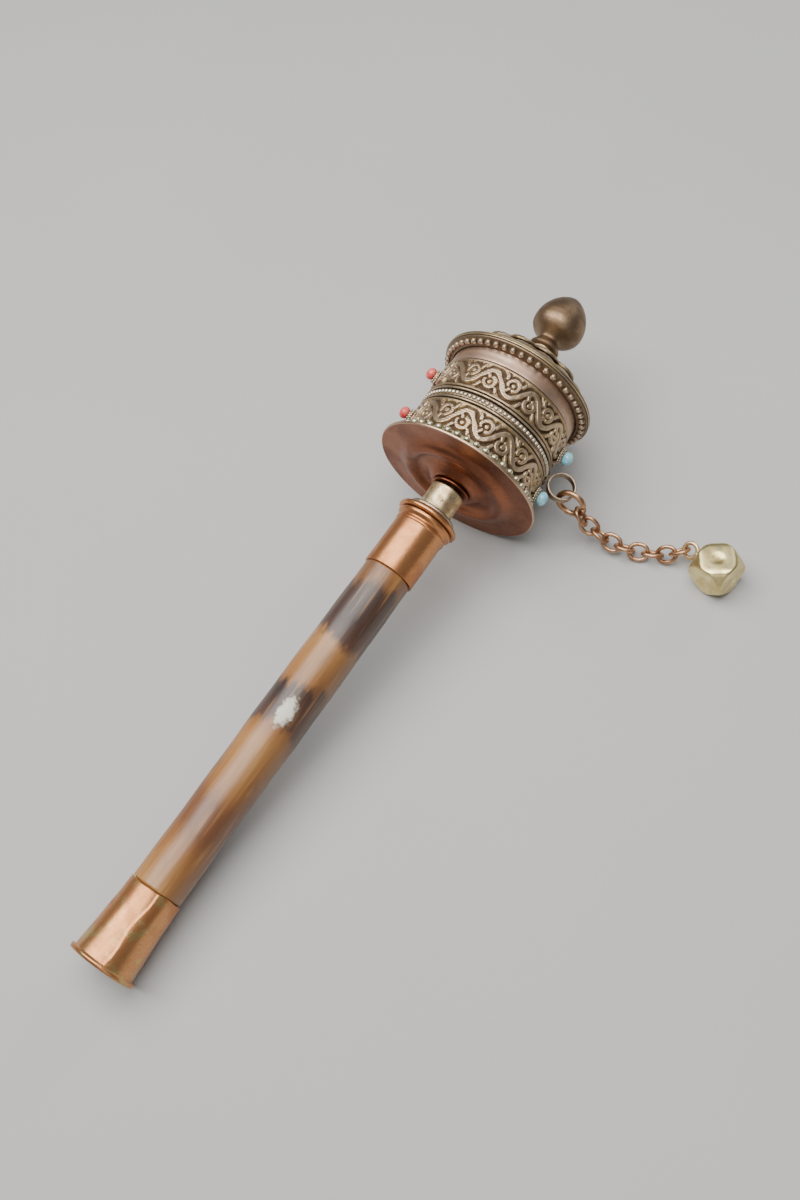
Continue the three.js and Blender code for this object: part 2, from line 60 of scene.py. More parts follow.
# --- camera
def stand_camera():
    """The camera stands behind the handle and above it, and looks down at the drum."""
    right = Vector((0.58315, -0.79868, -0.14850)).normalized()
    down = Vector((-0.73755, -0.44389, -0.50891))
    down = (down - right * down.dot(right)).normalized()
    ahead = right.cross(down)
    lens = bpy.data.cameras.new("view")
    lens.sensor_width = 36
    lens.lens = 38.55
    lens.clip_start = 0.01
    camera = bpy.data.objects.new("view", lens)
    bpy.context.scene.collection.objects.link(camera)
    turn = Matrix((right, -down, -ahead)).transposed().to_4x4()
    stand = Vector((WHEEL_FOOT[0] - 0.159674, WHEEL_FOOT[1] - 0.151781, 0.322388))
    camera.matrix_world = Matrix.Translation(stand) @ turn
    bpy.context.scene.camera = camera


stand_camera()


# --- frames and measures
def unit(vector):
    return vector / np.linalg.norm(vector)


def corners(node):
    """The corners of a CAD node's mesh, in metres."""
    vertices = NODES[node].data.vertices
    flat = np.empty(len(vertices) * 3, np.float32)
    vertices.foreach_get("co", flat)
    return flat.reshape(-1, 3).astype(float)


def middle(node):
    low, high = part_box(node)
    return (np.array(low) + np.array(high)) / 2


class Axes:
    """A frame in millimetres: z runs along an axis, and x is as near as it can be to a way."""

    def __init__(self, origin, z, x):
        z = unit(np.array(z, float))
        y = unit(np.cross(z, x))
        self.origin = np.array(origin, float)
        self.rows = np.stack([np.cross(y, z), y, z])

    def out(self, points):
        return self.origin + points @ self.rows * MM

    def into(self, points):
        return (points - self.origin) @ self.rows.T / MM


class Seat:
    """Where a CAD node sits in a frame: its ends along z, its radii, its middle, and how far and which
    way that lies from the axis."""

    def __init__(self, node, axes):
        points = axes.into(corners(node))
        radii = np.hypot(points[:, 0], points[:, 1])
        self.low, self.high = points[:, 2].min(), points[:, 2].max()
        self.inner, self.outer = radii.min(), radii.max()
        self.middle = (points.min(0) + points.max(0)) / 2
        self.half = (self.high - self.low) / 2
        self.off = math.hypot(*self.middle[:2])
        angle = math.atan2(self.middle[1], self.middle[0])
        self.way = np.array([math.cos(angle), math.sin(angle), 0])


HANDLE = Axes(WHEEL_FOOT, WHEEL_FOOT - middle("grip"), -UP)
DRUM = Axes(WHEEL_FOOT, JOINTS["drum_spin"]["axis"], -UP)
if (DRUM.rows[2] @ HANDLE.rows[2]) < 0:
    DRUM = Axes(WHEEL_FOOT, -DRUM.rows[2], -UP)
ON_HANDLE = (HANDLE, "handle")
FLAT = math.cos(math.pi / 36)  # a round piece drawn smooth keeps to the middles of the CAD's facets


# --- surfaces
class Shape:
    """Points in millimetres, their quads and triangles, and how far each point is raised from 0 to 1."""

    def __init__(self, points, quads, fans=(), raised=None):
        self.points = np.asarray(points, float).reshape(-1, 3)
        self.quads = np.asarray(quads, int).reshape(-1, 4)
        self.fans = np.asarray(fans, int).reshape(-1, 3)
        self.raised = np.full(len(self.points), 0.5) if raised is None else np.ravel(raised)

    def faced(self):
        """Turns the faces outwards, by the sign of the volume that they enclose."""
        a, b, c, d = (self.points[self.quads[:, i]] for i in range(4))
        volume = np.einsum("ij,ij", np.cross(a, b), c) + np.einsum("ij,ij", np.cross(a, c), d)
        e, f, g = (self.points[self.fans[:, i]] for i in range(3))
        volume += np.einsum("ij,ij", np.cross(e, f), g)
        if volume < 0:
            self.quads, self.fans = self.quads[:, ::-1], self.fans[:, ::-1]
        return self

    def moved(self, rows, offset):
        """The shape in another frame: its x, y and z run along the rows, and it starts at the offset."""
        return Shape(self.points @ np.asarray(rows) + offset, self.quads, self.fans, self.raised)


def joined(shapes):
    starts = np.cumsum([0] + [len(shape.points) for shape in shapes[:-1]])
    return Shape(
        np.concatenate([shape.points for shape in shapes]),
        np.concatenate([shape.quads + start for shape, start in zip(shapes, starts)]),
        np.concatenate([shape.fans + start for shape, start in zip(shapes, starts)]),
        np.concatenate([shape.raised for shape in shapes]),
    )


def repeated(shape, rows, offsets):
    """Copies of one shape, each turned by its own three rows and moved by its own offset."""
    count, size = len(offsets), len(shape.points)
    points = np.einsum("pi,nij->npj", shape.points, rows) + offsets[:, None, :]
    shift = (np.arange(count) * size)[:, None, None]
    return Shape(points, shape.quads + shift, shape.fans + shift, np.tile(shape.raised, count))


def skinned(grid, ring=False, raised=None):
    """Quads over a grid of points whose columns close on themselves. The rows of a ring close too, and
    any other grid is closed at both ends by a fan round the middle of its end row."""
    rows, columns = grid.shape[:2]
    i = np.arange(rows if ring else rows - 1)[:, None]
    j = np.arange(columns)[None, :]
    after, beside = (i + 1) % rows, (j + 1) % columns
    quads = np.stack(
        [i * columns + j, i * columns + beside, after * columns + beside, after * columns + j], -1
    )
    points = grid.reshape(-1, 3)
    lift = None if raised is None else np.broadcast_to(raised, (rows, columns)).ravel()
    if ring:
        return Shape(points, quads, (), lift).faced()
    first, last = rows * columns, rows * columns + 1
    k = np.arange(columns)
    end = (rows - 1) * columns
    fans = np.concatenate([np.stack([(k + 1) % columns, k, np.full(columns, first)], -1),
        np.stack([end + k, end + (k + 1) % columns, np.full(columns, last)], -1)])
    points = np.concatenate([points, [grid[0].mean(0), grid[-1].mean(0)]])
    if lift is not None:
        lift = np.concatenate([lift, [lift[0], lift[-1]]])
    return Shape(points, quads, fans, lift).faced()


def eased(profile, ease, steps=4):
    """A closed profile with each corner p rounded: from a near the one side to b near the other, the
    curve is (1-t)^2 a + 2t(1-t) p + t^2 b, where a and b are ease away or a little under half a side."""
    p = np.asarray(profile, float)
    before, after = np.roll(p, 1, 0) - p, np.roll(p, -1, 0) - p
    reach = np.broadcast_to(np.asarray(ease, float), len(p))[:, None]
    near = [side * np.minimum(reach / np.linalg.norm(side, axis=1, keepdims=True), 0.45)
            for side in (before, after)]
    t = np.linspace(0, 1, steps)[None, :, None]
    curve = (1 - t) ** 2 * (p + near[0])[:, None] + 2 * t * (1 - t) * p[:, None]
    return (curve + t**2 * (p + near[1])[:, None]).reshape(-1, 2)


def angles(columns):
    return np.arange(columns) / columns * TURN


def carried(radius, height, round_angles):
    """Each radius and height carried round z: (r cos a, r sin a, h) at every angle a."""
    r, h, a = np.broadcast_arrays(radius, height, round_angles)
    return np.stack([r * np.cos(a), r * np.sin(a), h], -1)


def rings(pairs, round_angles):
    """One ring of points for each radius and height."""
    return [carried(np.array([[r]]), np.array([[h]]), round_angles) for r, h in pairs]


def turned(profile, columns=128, wobble=0.0, seed=0.0):
    """A closed profile carried round z. Its radius swells by wobble times a slow wave of angle and
    height, so that no two sides are quite alike."""
    a = angles(columns)[None, :]
    r, h = profile[:, 0][:, None], profile[:, 1][:, None]
    wave = np.sin(2 * a + 0.09 * h + seed) + 0.6 * np.sin(5 * a - 0.17 * h + 2 * seed)
    return skinned(carried(r + wobble * (wave - 1.2), h, a), ring=True)


def wire(path, radius, sides, closed=True, twist=0):
    """A round wire carried along a path that lies near the xy plane: at each point the section's circle
    stands on the sideways direction and z. With a twist, the radius swells twice round the section at
    an angle that turns along the path, like two strands laid together."""
    ahead = np.roll(path, -1, 0) - np.roll(path, 1, 0)
    if not closed:
        ahead[0], ahead[-1] = path[1] - path[0], path[-1] - path[-2]
    ahead /= np.linalg.norm(ahead, axis=1, keepdims=True)
    side = np.cross(ahead, UP)
    side /= np.linalg.norm(side, axis=1, keepdims=True)
    over = np.cross(side, ahead)
    a = angles(sides)[None, :]
    lay = np.arange(len(path))[:, None] / len(path) * TURN * twist
    swell = 1.0 if not twist else 0.8 + 0.2 * np.cos(2 * (a - lay)) ** 2
    r = np.broadcast_to(np.asarray(radius, float), len(path))[:, None] * swell * np.ones_like(a)
    grid = path[:, None] + (r * np.cos(a))[..., None] * side[:, None]
    grid = grid + (r * np.sin(a))[..., None] * over[:, None]
    lift = None if not twist else 0.2 + 0.8 * np.cos(2 * (a - lay)) ** 2
    return skinned(grid, ring=closed, raised=lift)


def ball(columns, rows, radii):
    """A closed ball: latitude rows between two poles, each axis scaled by its own radius. Raised runs
    from 0 at the foot to 1 at the crown."""
    polar = (np.arange(rows) + 0.7) / (rows + 0.4) * math.pi
    a = angles(columns)[None, :]
    grid = carried(np.sin(polar)[:, None], -np.cos(polar)[:, None], a) * np.array(radii)
    shape = skinned(grid, raised=(0.5 - 0.5 * np.cos(polar))[:, None] * np.ones_like(a))
    shape.points[-2:] = np.array([[0, 0, -radii[2]], [0, 0, radii[2]]])
    return shape


def beads(count, ring_radius, height, radii, columns=8, rows=4, unevenness=0.0, hanging=False):
    """Beads round z. Each stands out along its own radius, with its sides round z and along z, or it
    hangs with its crown down."""
    a = angles(count)
    size = 1 + unevenness * np.sin(7.3 * np.arange(count) ** 1.1)
    out = np.stack([np.cos(a), np.sin(a), 0 * a], -1)
    round_way = np.stack([-np.sin(a), np.cos(a), 0 * a], -1)
    up = np.broadcast_to(UP, out.shape)
    ways = (out, -round_way, -up) if hanging else (round_way, up, out)
    turns = np.stack(ways, 1) * size[:, None, None]
    return repeated(ball(columns, rows, radii), turns, out * ring_radius + UP * height)


def smooth(value, low, high):
    """Rises from 0 at low to 1 at high along 3t^2 - 2t^3."""
    t = np.clip((value - low) / (high - low), 0, 1)
    return t * t * (3 - 2 * t)


# --- finishes
class Flow:
    """A socket that carries a number, so that shader maths reads as arithmetic."""

    def __init__(self, tree, socket):
        self.tree = tree
        self.socket = socket

    def maths(self, operation, first, second):
        node = self.tree.nodes.new("ShaderNodeMath")
        node.operation = operation
        for place, value in enumerate((first, second)):
            if isinstance(value, Flow):
                self.tree.links.new(value.socket, node.inputs[place])
            else:
                node.inputs[place].default_value = value
        return Flow(self.tree, node.outputs[0])

    def __add__(self, other):
        return self.maths("ADD", self, other)

    def __sub__(self, other):
        return self.maths("SUBTRACT", self, other)

    def __rsub__(self, other):
        return self.maths("SUBTRACT", other, self)

    def __mul__(self, other):
        return self.maths("MULTIPLY", self, other)

    __radd__ = __add__
    __rmul__ = __mul__


class Finish:
    """A material in the making. Its patterns are laid out in millimetres."""

    def __init__(self, name, **constants):
        self.material = bpy.data.materials.new(name)
        self.material.use_nodes = True
        self.tree = self.material.node_tree
        self.tree.nodes.clear()
        self.shader = self.tree.nodes.new("ShaderNodeBsdfPrincipled")
        out = self.tree.nodes.new("ShaderNodeOutputMaterial")
        self.tree.links.new(self.shader.outputs[0], out.inputs[0])
        for socket, value in constants.items():
            self.shader.inputs[socket.replace("_", " ")].default_value = value
        metres = self.node("ShaderNodeTexCoord", out="Object")
        self.at = self.node("ShaderNodeVectorMath", {"operation": "SCALE"}, {0: metres, "Scale": 1000})

    def node(self, kind, settings=None, sockets=None, out=0):
        """Adds a node: its settings first, a ramp's stops among them, then its sockets."""
        node = self.tree.nodes.new(kind)
        for key, value in (settings or {}).items():
            if key == "stops":
                ramp = node.color_ramp
                while len(ramp.elements) < len(value):
                    ramp.elements.new(0.5)
                for element, (position, colour) in zip(ramp.elements, value):
                    element.position = position
                    element.color = (*colour, 1)
            else:
                setattr(node, key, value)
        for key, value in (sockets or {}).items():
            if isinstance(value, Flow):
                self.tree.links.new(value.socket, node.inputs[key])
            else:
                node.inputs[key].default_value = value
        return Flow(self.tree, node.outputs[out])

    def stretched(self, x, y, z, vector=None):
        settings = {"operation": "MULTIPLY"}
        return self.node("ShaderNodeVectorMath", settings, {0: vector or self.at, 1: (x, y, z)})

    def noise(self, scale, detail=4, rough=0.55, vector=None, warp=0.0):
        sockets = {"Vector": vector or self.at, "Scale": scale, "Detail": detail, "Roughness": rough}
        return self.node("ShaderNodeTexNoise", None, {**sockets, "Distortion": warp})

    def step(self, value, low, high):
        sockets = {"Value": value, "From Min": low, "From Max": high}
        return self.node("ShaderNodeMapRange", {"interpolation_type": "SMOOTHSTEP"}, sockets)

    def mix(self, factor, first, second):
        pair = [value if isinstance(value, Flow) else (*value, 1) for value in (first, second)]
        settings = {"data_type": "RGBA", "blend_type": "MIX", "clamp_factor": True}
        return self.node("ShaderNodeMix", settings, {0: factor, 6: pair[0], 7: pair[1]}, out=2)

    def raised(self):
        return self.node("ShaderNodeAttribute", {"attribute_name": "raised"}, out="Fac")

    def own_place(self):
        """The point's place in its piece's own frame, in millimetres."""
        return self.node("ShaderNodeAttribute", {"attribute_name": "place"}, out="Vector")

    def done(self, colour, roughness, height=None, depth=0.05):
        """Feeds the surface: its colour, its roughness and a bump whose depth is in millimetres."""
        feeds = {"Base Color": colour, "Roughness": roughness}
        if height is not None:
            sockets = {"Height": height, "Strength": 1.0, "Distance": depth * MM}
            feeds["Normal"] = self.node("ShaderNodeBump", None, sockets)
        for socket, flow in feeds.items():
            self.tree.links.new(flow.socket, self.shader.inputs[socket])
        return self.material


def worn_metal(name, bright, dull, stain, rough, cloud=0.12, speckle=0.6, verdigris=None, grain=1.4,
        edge=None, bloom_from=0.56, metallic=1.0):
    """Metal that has been handled: clouds of tarnish, dark specks in its pits, and hairlines. Its most
    raised edges can be rubbed to a colour of their own."""
    f = Finish(name, Metallic=metallic)
    clouds = f.step(f.noise(cloud, 5, 0.6, warp=0.4), 0.36, 0.66)
    mottle = f.noise(grain, 4, 0.6)
    specks = f.step(f.noise(1.3, 3, 0.7), 0.62, 0.72) * speckle
    hairlines = f.noise(2.2, 3, 0.7, vector=f.stretched(0.25, 2.4, 1.6))
    colour = f.mix(clouds, bright, dull)
    colour = f.mix(f.step(mottle, 0.35, 0.75) * 0.35, colour, dull)
    colour = f.mix(specks, colour, stain)
    if verdigris:
        bloom = f.step(f.noise(0.22, 5, 0.7), bloom_from, bloom_from + 0.14) * 0.8
        colour = f.mix(bloom, colour, verdigris)
    if edge:
        colour = f.mix(f.step(f.raised() + 0.3 * (mottle - 0.5), 0.62, 0.95) * 0.85, colour, edge)
    roughness = rough + 0.12 * clouds + 0.16 * specks + 0.1 * (mottle - 0.5) + 0.1 * (hairlines - 0.5)
    return f.done(colour, roughness, mottle * 0.6 + hairlines * 0.5 - specks, 0.02)


def chased_bronze(name, crown, ground, hollow, glow):
    """Light, rubbed crowns over a browner ground and dark hollows, with greener gold in patches."""
    f = Finish(name, Metallic=0.92)
    raised = f.raised()
    patches = f.step(f.noise(0.11, 4, 0.6), 0.46, 0.62)
    mottle = f.noise(1.1, 5, 0.65)
    specks = f.step(f.noise(1.7, 4, 0.75), 0.6, 0.72)
    rubbed = f.step(raised + 0.25 * (mottle - 0.5), 0.55, 0.92)
    deep = f.step(raised + 0.3 * (mottle - 0.5), 0.36, 0.06)
    colour = f.mix(patches * 0.6, ground, glow)
    colour = f.mix(rubbed * 0.85, colour, crown)
    colour = f.mix(specks * (0.65 - 0.4 * rubbed), colour, hollow)
    colour = f.mix(deep, colour, hollow)
    roughness = 0.42 + 0.3 * deep - 0.1 * rubbed + 0.16 * (mottle - 0.5) + 0.1 * specks
    return f.done(colour, roughness, mottle + 0.4 * specks, 0.06)


def smoked_horn():
    """Amber horn smoked in dark bands whose edges wander by a slow noise. Fine fibres run lengthwise,
    one place is pale, and the side towards -y is painted darker as shade."""
    f = Finish("smoked_horn", Coat_Weight=0.25, Coat_Roughness=0.3, Specular_IOR_Level=0.6)
    f.at = f.own_place()
    run = f.node("ShaderNodeSeparateXYZ", None, {0: f.at}, out=2)
    across = f.node("ShaderNodeSeparateXYZ", None, {0: f.at}, out=1)
    drift = f.noise(0.1, 3, 0.55, vector=f.stretched(1.3, 1.3, 0.5)) - 0.5
    ragged = f.noise(0.7, 5, 0.65, vector=f.stretched(1, 1, 0.35)) - 0.5
    foot, length, pale_place = -139.4, 105, (-6.9, -2.9, -83.2 * 0.55)
    share = (run + 17.0 * drift + 6.0 * ragged - foot) * (1 / length)
    amber, honey = (0.3, 0.125, 0.03), (0.38, 0.18, 0.05)
    brown, smoke, soot = (0.165, 0.062, 0.022), (0.062, 0.03, 0.022), (0.02, 0.013, 0.013)
    stops = [
        (0.0, honey), (0.11, amber), (0.18, brown), (0.24, brown), (0.3, amber), (0.42, honey),
        (0.475, amber), (0.5, smoke), (0.6, soot), (0.625, amber), (0.75, honey), (0.775, smoke),
        (0.84, soot), (0.93, soot), (0.955, amber), (1.0, amber),
    ]
    colour = f.node("ShaderNodeValToRGB", {"stops": stops}, {0: share})
    shadowed = f.step(f.noise(0.09, 4, 0.6, vector=f.stretched(1, 1, 0.45)), 0.5, 0.7)
    colour = f.mix(shadowed * 0.6, colour, smoke)
    # Painted shade: the side towards -y is darkened towards dark brown, as if unlit.
    colour = f.mix(f.step(across, -1.5, -7.4) * 0.55, colour, (0.075, 0.036, 0.02))
    fibres = f.noise(1.5, 4, 0.65, vector=f.stretched(2.2, 2.2, 0.05))
    streaks = f.noise(0.5, 3, 0.6, vector=f.stretched(1.6, 1.6, 0.09))
    colour = f.mix(f.step(fibres, 0.4, 0.75) * 0.3, colour, brown)
    colour = f.mix(f.step(streaks, 0.5, 0.8) * 0.35, colour, (0.6, 0.33, 0.11))
    nicks = f.step(f.noise(0.9, 5, 0.8), 0.68, 0.76)
    colour = f.mix(nicks * 0.7, colour, (0.62, 0.42, 0.24))
    distance = f.node("ShaderNodeVectorMath", {"operation": "DISTANCE"},
            {0: f.stretched(1, 1, 0.55), 1: pale_place}, out="Value")
    torn = f.noise(0.9, 5, 0.7)
    pale = f.step(distance + 3.8 * (torn - 0.5), 2.9, 1.4)
    colour = f.mix(pale, colour, (0.7, 0.68, 0.55))
    roughness = 0.36 + 0.14 * (fibres - 0.5) + 0.22 * pale + 0.18 * nicks + 0.1 * f.step(across, -9, 9)
    return f.done(colour, roughness, fibres - 0.5 * nicks + 0.4 * pale, 0.035)


def polished_stone(name, body, light, vein, vein_scale):
    f = Finish(name, Coat_Weight=0.4, Coat_Roughness=0.12)
    clouds = f.noise(0.6, 4, 0.6)
    veins = 1 - f.step(f.noise(vein_scale, 6, 0.7, warp=1.2), 0.48, 0.52)
    edge = f.step(f.noise(vein_scale, 6, 0.7), 0.62, 0.7)
    colour = f.mix(f.step(clouds, 0.35, 0.7), body, light)
    colour = f.mix(edge * 0.7 + veins * 0.06, colour, vein)
    return f.done(colour, 0.26 + 0.2 * edge + 0.1 * (clouds - 0.5), clouds - edge, 0.04)


def woven(name, warp_colour, weft_colour, thread):
    """Two sets of fine threads that cross, one along the drum's axis and one round it."""
    f = Finish(name, Sheen_Weight=0.3)
    along = f.node("ShaderNodeTexWave", {"bands_direction": "X"}, {0: f.at, "Scale": thread})
    round_way = f.node("ShaderNodeTexWave", {"bands_direction": "Z"}, {0: f.at, "Scale": thread})
    cross = along * round_way
    colour = f.mix(cross, warp_colour, weft_colour)
    return f.done(colour, 0.8 + 0.1 * cross, cross, 0.08)


def rolled_paper():
    f = Finish("rolled_paper")
    fibre = f.noise(1.8, 5, 0.7)
    layers = f.noise(0.5, 3, 0.6, vector=f.stretched(0.2, 3, 3))
    colour = f.mix(f.step(layers, 0.4, 0.7), (0.66, 0.57, 0.4), (0.45, 0.35, 0.2))
    return f.done(colour, 0.85 + 0.1 * (fibre - 0.5), fibre + layers, 0.06)


HORN = smoked_horn()
COPPER = worn_metal("worn_copper", (0.58, 0.265, 0.11), (0.4, 0.155, 0.06), (0.1, 0.04, 0.02), 0.27,
        cloud=0.08, speckle=0.35, edge=(0.7, 0.4, 0.2), metallic=0.85)
STAINED_COPPER = worn_metal("stained_copper", (0.6, 0.285, 0.12), (0.42, 0.165, 0.065),
        (0.16, 0.06, 0.03), 0.27, cloud=0.09, speckle=0.5, metallic=0.85,
        verdigris=(0.48, 0.38, 0.15), edge=(0.75, 0.46, 0.25), bloom_from=0.52)
RED_COPPER = worn_metal("red_copper", (0.3, 0.115, 0.06), (0.17, 0.062, 0.036), (0.03, 0.016, 0.012),
        0.33, cloud=0.06, speckle=0.9, edge=(0.62, 0.44, 0.3))
ROSE_COPPER = worn_metal("rose_copper", (0.67, 0.475, 0.36), (0.48, 0.325, 0.24),
        (0.16, 0.09, 0.065), 0.4, cloud=0.15, speckle=0.5)
CHAIN_COPPER = worn_metal("chain_copper", (0.62, 0.37, 0.22), (0.36, 0.19, 0.1),
        (0.06, 0.028, 0.018), 0.3, cloud=0.25, speckle=0.8)
FINIAL_BRONZE = worn_metal("finial_bronze", (0.29, 0.195, 0.12), (0.165, 0.108, 0.064),
        (0.05, 0.03, 0.02), 0.42, cloud=0.16, speckle=0.7, grain=2.4)
DARK_BRONZE = worn_metal("dark_bronze", (0.16, 0.11, 0.07), (0.07, 0.045, 0.03), (0.02, 0.013, 0.01),
        0.45, cloud=0.3, speckle=0.8)
WIRE_BRONZE = worn_metal("wire_bronze", (0.55, 0.44, 0.315), (0.33, 0.24, 0.16), (0.06, 0.045, 0.03),
        0.36, cloud=0.25, speckle=0.8)
PALE_BRASS = worn_metal("pale_brass", (0.9, 0.74, 0.46), (0.56, 0.38, 0.2), (0.07, 0.042, 0.025),
        0.36, cloud=0.3, speckle=0.95)
WEIGHT_BRASS = worn_metal("weight_brass", (0.9, 0.77, 0.4), (0.64, 0.51, 0.22), (0.27, 0.19, 0.07),
        0.28, cloud=0.2, speckle=0.25)
END_PLATE = worn_metal("end_plate_brass", (0.42, 0.44, 0.3), (0.3, 0.3, 0.17), (0.12, 0.1, 0.06), 0.42,
        cloud=0.2, speckle=0.6, verdigris=(0.2, 0.36, 0.26))
STEEL = worn_metal("axle_steel", (0.5, 0.49, 0.47), (0.3, 0.29, 0.27), (0.1, 0.06, 0.04), 0.36)
RELIEF = chased_bronze("chased_bronze", (0.55, 0.41, 0.275), (0.33, 0.23, 0.14), (0.085, 0.055, 0.036),
        (0.4, 0.3, 0.12))
LID_BRONZE = chased_bronze("lid_bronze", (0.54, 0.42, 0.275), (0.24, 0.17, 0.1), (0.06, 0.04, 0.026),
        (0.38, 0.28, 0.11))
BEAD_SILVER = chased_bronze("rubbed_beads", (0.85, 0.78, 0.67), (0.38, 0.28, 0.18), (0.13, 0.09, 0.06),
        (0.42, 0.33, 0.2))
FOOT_BEADS = chased_bronze("foot_beads_brass", (0.68, 0.65, 0.46), (0.42, 0.39, 0.25),
        (0.11, 0.09, 0.055), (0.4, 0.43, 0.27))
LID_BEADS = chased_bronze("lid_beads_bronze", (0.66, 0.53, 0.4), (0.27, 0.19, 0.125),
        (0.1, 0.066, 0.045), (0.27, 0.19, 0.11))
CORAL = polished_stone("coral_stone", (0.66, 0.06, 0.06), (0.78, 0.17, 0.14), (0.4, 0.03, 0.03), 1.1)
TURQUOISE = polished_stone("turquoise_stone", (0.18, 0.56, 0.68), (0.42, 0.76, 0.82), (0.13, 0.3, 0.3),
        0.8)
PAPER = rolled_paper()
SILK = woven("silk_wrap", (0.5, 0.3, 0.07), (0.36, 0.2, 0.04), 3.0)


# --- making
def make(name, shape, finish, slot, node, axes=DRUM, body="drum"):
    """Writes a shape into a mesh at its place in the row frame and lets it ride on its body."""
    mesh = bpy.data.meshes.new(name)
    faces = shape.quads.tolist() + shape.fans.tolist()
    mesh.from_pydata(axes.out(shape.points).tolist(), [], faces, shade_flat=False)
    lift = mesh.attributes.new("raised", "FLOAT", "POINT")
    lift.data.foreach_set("value", shape.raised.astype(np.float32))
    place = mesh.attributes.new("place", "FLOAT_VECTOR", "POINT")
    place.data.foreach_set("vector", shape.points.astype(np.float32).ravel())
    mesh.materials.append(finish)
    piece = bpy.data.objects.new(name, mesh)
    bpy.context.scene.collection.objects.link(piece)
    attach(piece, body)
    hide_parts(node)


# CAD nodes whose shape is right keep it, and get a finish of their own.
for node, finish in {
    "axle_rod": STEEL, "drum_shell": DARK_BRONZE, "core_tube": PALE_BRASS, "scroll": PAPER,
    "scroll_wrap": SILK,
}.items():
    NODES[node].data.materials.clear()
    NODES[node].data.materials.append(finish)


# --- the handle
def horn_grip():
    """A bored rod whose outside swells by a slow wave along it and five faint flats round it, and steps
    down where it enters each ferrule."""
    seat, lower, upper = (Seat(node, HANDLE) for node in ("grip", "lower_ferrule", "upper_ferrule"))
    run = np.linspace(lower.high + 0.15, upper.low - 0.15, 240)[:, None]
    a = angles(112)[None, :]
    swell = 0.1 * np.sin(0.075 * run + 1.0) + 0.05 * np.sin(5 * a + 0.02 * run)
    swell = swell + 0.05 * np.sin(0.31 * run + 2 * a) - 0.16
    outside = carried(seat.outer + swell, run, a)
    tuck = seat.outer - 0.95
    ends = rings([(tuck, upper.low), (tuck, seat.high), (seat.inner, seat.high),
            (seat.inner, seat.low), (tuck, seat.low), (tuck, lower.high)], a)
    grid = np.concatenate([outside, *ends])
    make("horn_grip", skinned(grid, ring=True), HORN, "horn", "grip", *ON_HANDLE)


def upper_sleeve():
    """A thin sleeve with a rolled line, a groove and a lip that flares under the flange."""
    seat = Seat("upper_ferrule", HANDLE)
    top, foot, wall, r = seat.high, seat.low, 0.7, seat.outer - 1.0
    profile = eased([
        (r, foot), (r, top - 3.4), (r + 0.28, top - 3.1), (r + 0.28, top - 2.5), (r - 0.08, top - 2.2),
        (r - 0.08, top - 1.7), (seat.outer - 0.1, top - 0.9), (seat.outer - 0.1, top),
        (r - wall + 0.9, top), (r - wall, top - 2.1), (r - wall, foot),
    ], [0.2, 0.25, 0.2, 0.2, 0.2, 0.25, 0.3, 0.2, 0.2, 0.3, 0.1])
    make("upper_sleeve", turned(profile, wobble=0.02, seed=1), COPPER, "copper",
         "upper_ferrule", *ON_HANDLE)


def rolled_flange():
    """A washer with a fully rounded edge and a fine step inside it."""
    seat = Seat("upper_flange", HANDLE)
    half, r = seat.half, seat.outer
    profile = eased([
        (seat.inner, seat.low), (r - 1.0, seat.low), (r, seat.low + 0.25), (r, seat.high - 0.25),
        (r - 1.0, seat.high), (r - 1.5, seat.high - 0.25 * half), (seat.inner, seat.high - 0.25 * half),
    ], [0.1, 0.3, 0.6, 0.6, 0.5, 0.3, 0.1], 6)
    make("rolled_flange", turned(profile, wobble=0.03, seed=2), COPPER, "copper",
         "upper_flange", *ON_HANDLE)


def rope_collar():
    """Two strands twisted round each other and laid in a ring at the bushing's foot."""
    seat = Seat("rope_ring", HANDLE)
    half = seat.half
    ring = carried(seat.outer - half, seat.middle[2], angles(320))
    make("rope_collar", wire(ring, half, 16, twist=19), BEAD_SILVER, "pale_brass",
         "rope_ring", *ON_HANDLE)


def pale_bushing():
    """A stout tube, a little drawn in at its waist and hammered unevenly."""
    seat = Seat("bushing", HANDLE)
    h = np.linspace(seat.low + 0.15, seat.high - 0.15, 40)[:, None]
    a = angles(96)[None, :]
    waist = 0.28 * np.sin((h - seat.low) / (seat.high - seat.low) * math.pi)
    dents = 0.05 * np.sin(7 * a + 1.3 * h) * np.sin(3 * a - 0.9 * h)
    outside = carried(seat.outer - 0.06 - waist + dents, h, a)
    lips = rings([(seat.outer - 0.25, seat.high), (seat.inner, seat.high),
            (seat.inner, seat.low), (seat.outer - 0.25, seat.low)], a)
    shape = skinned(np.concatenate([outside, *lips]), ring=True)
    make("pale_bushing", shape, PALE_BRASS, "pale_brass", "bushing", *ON_HANDLE)


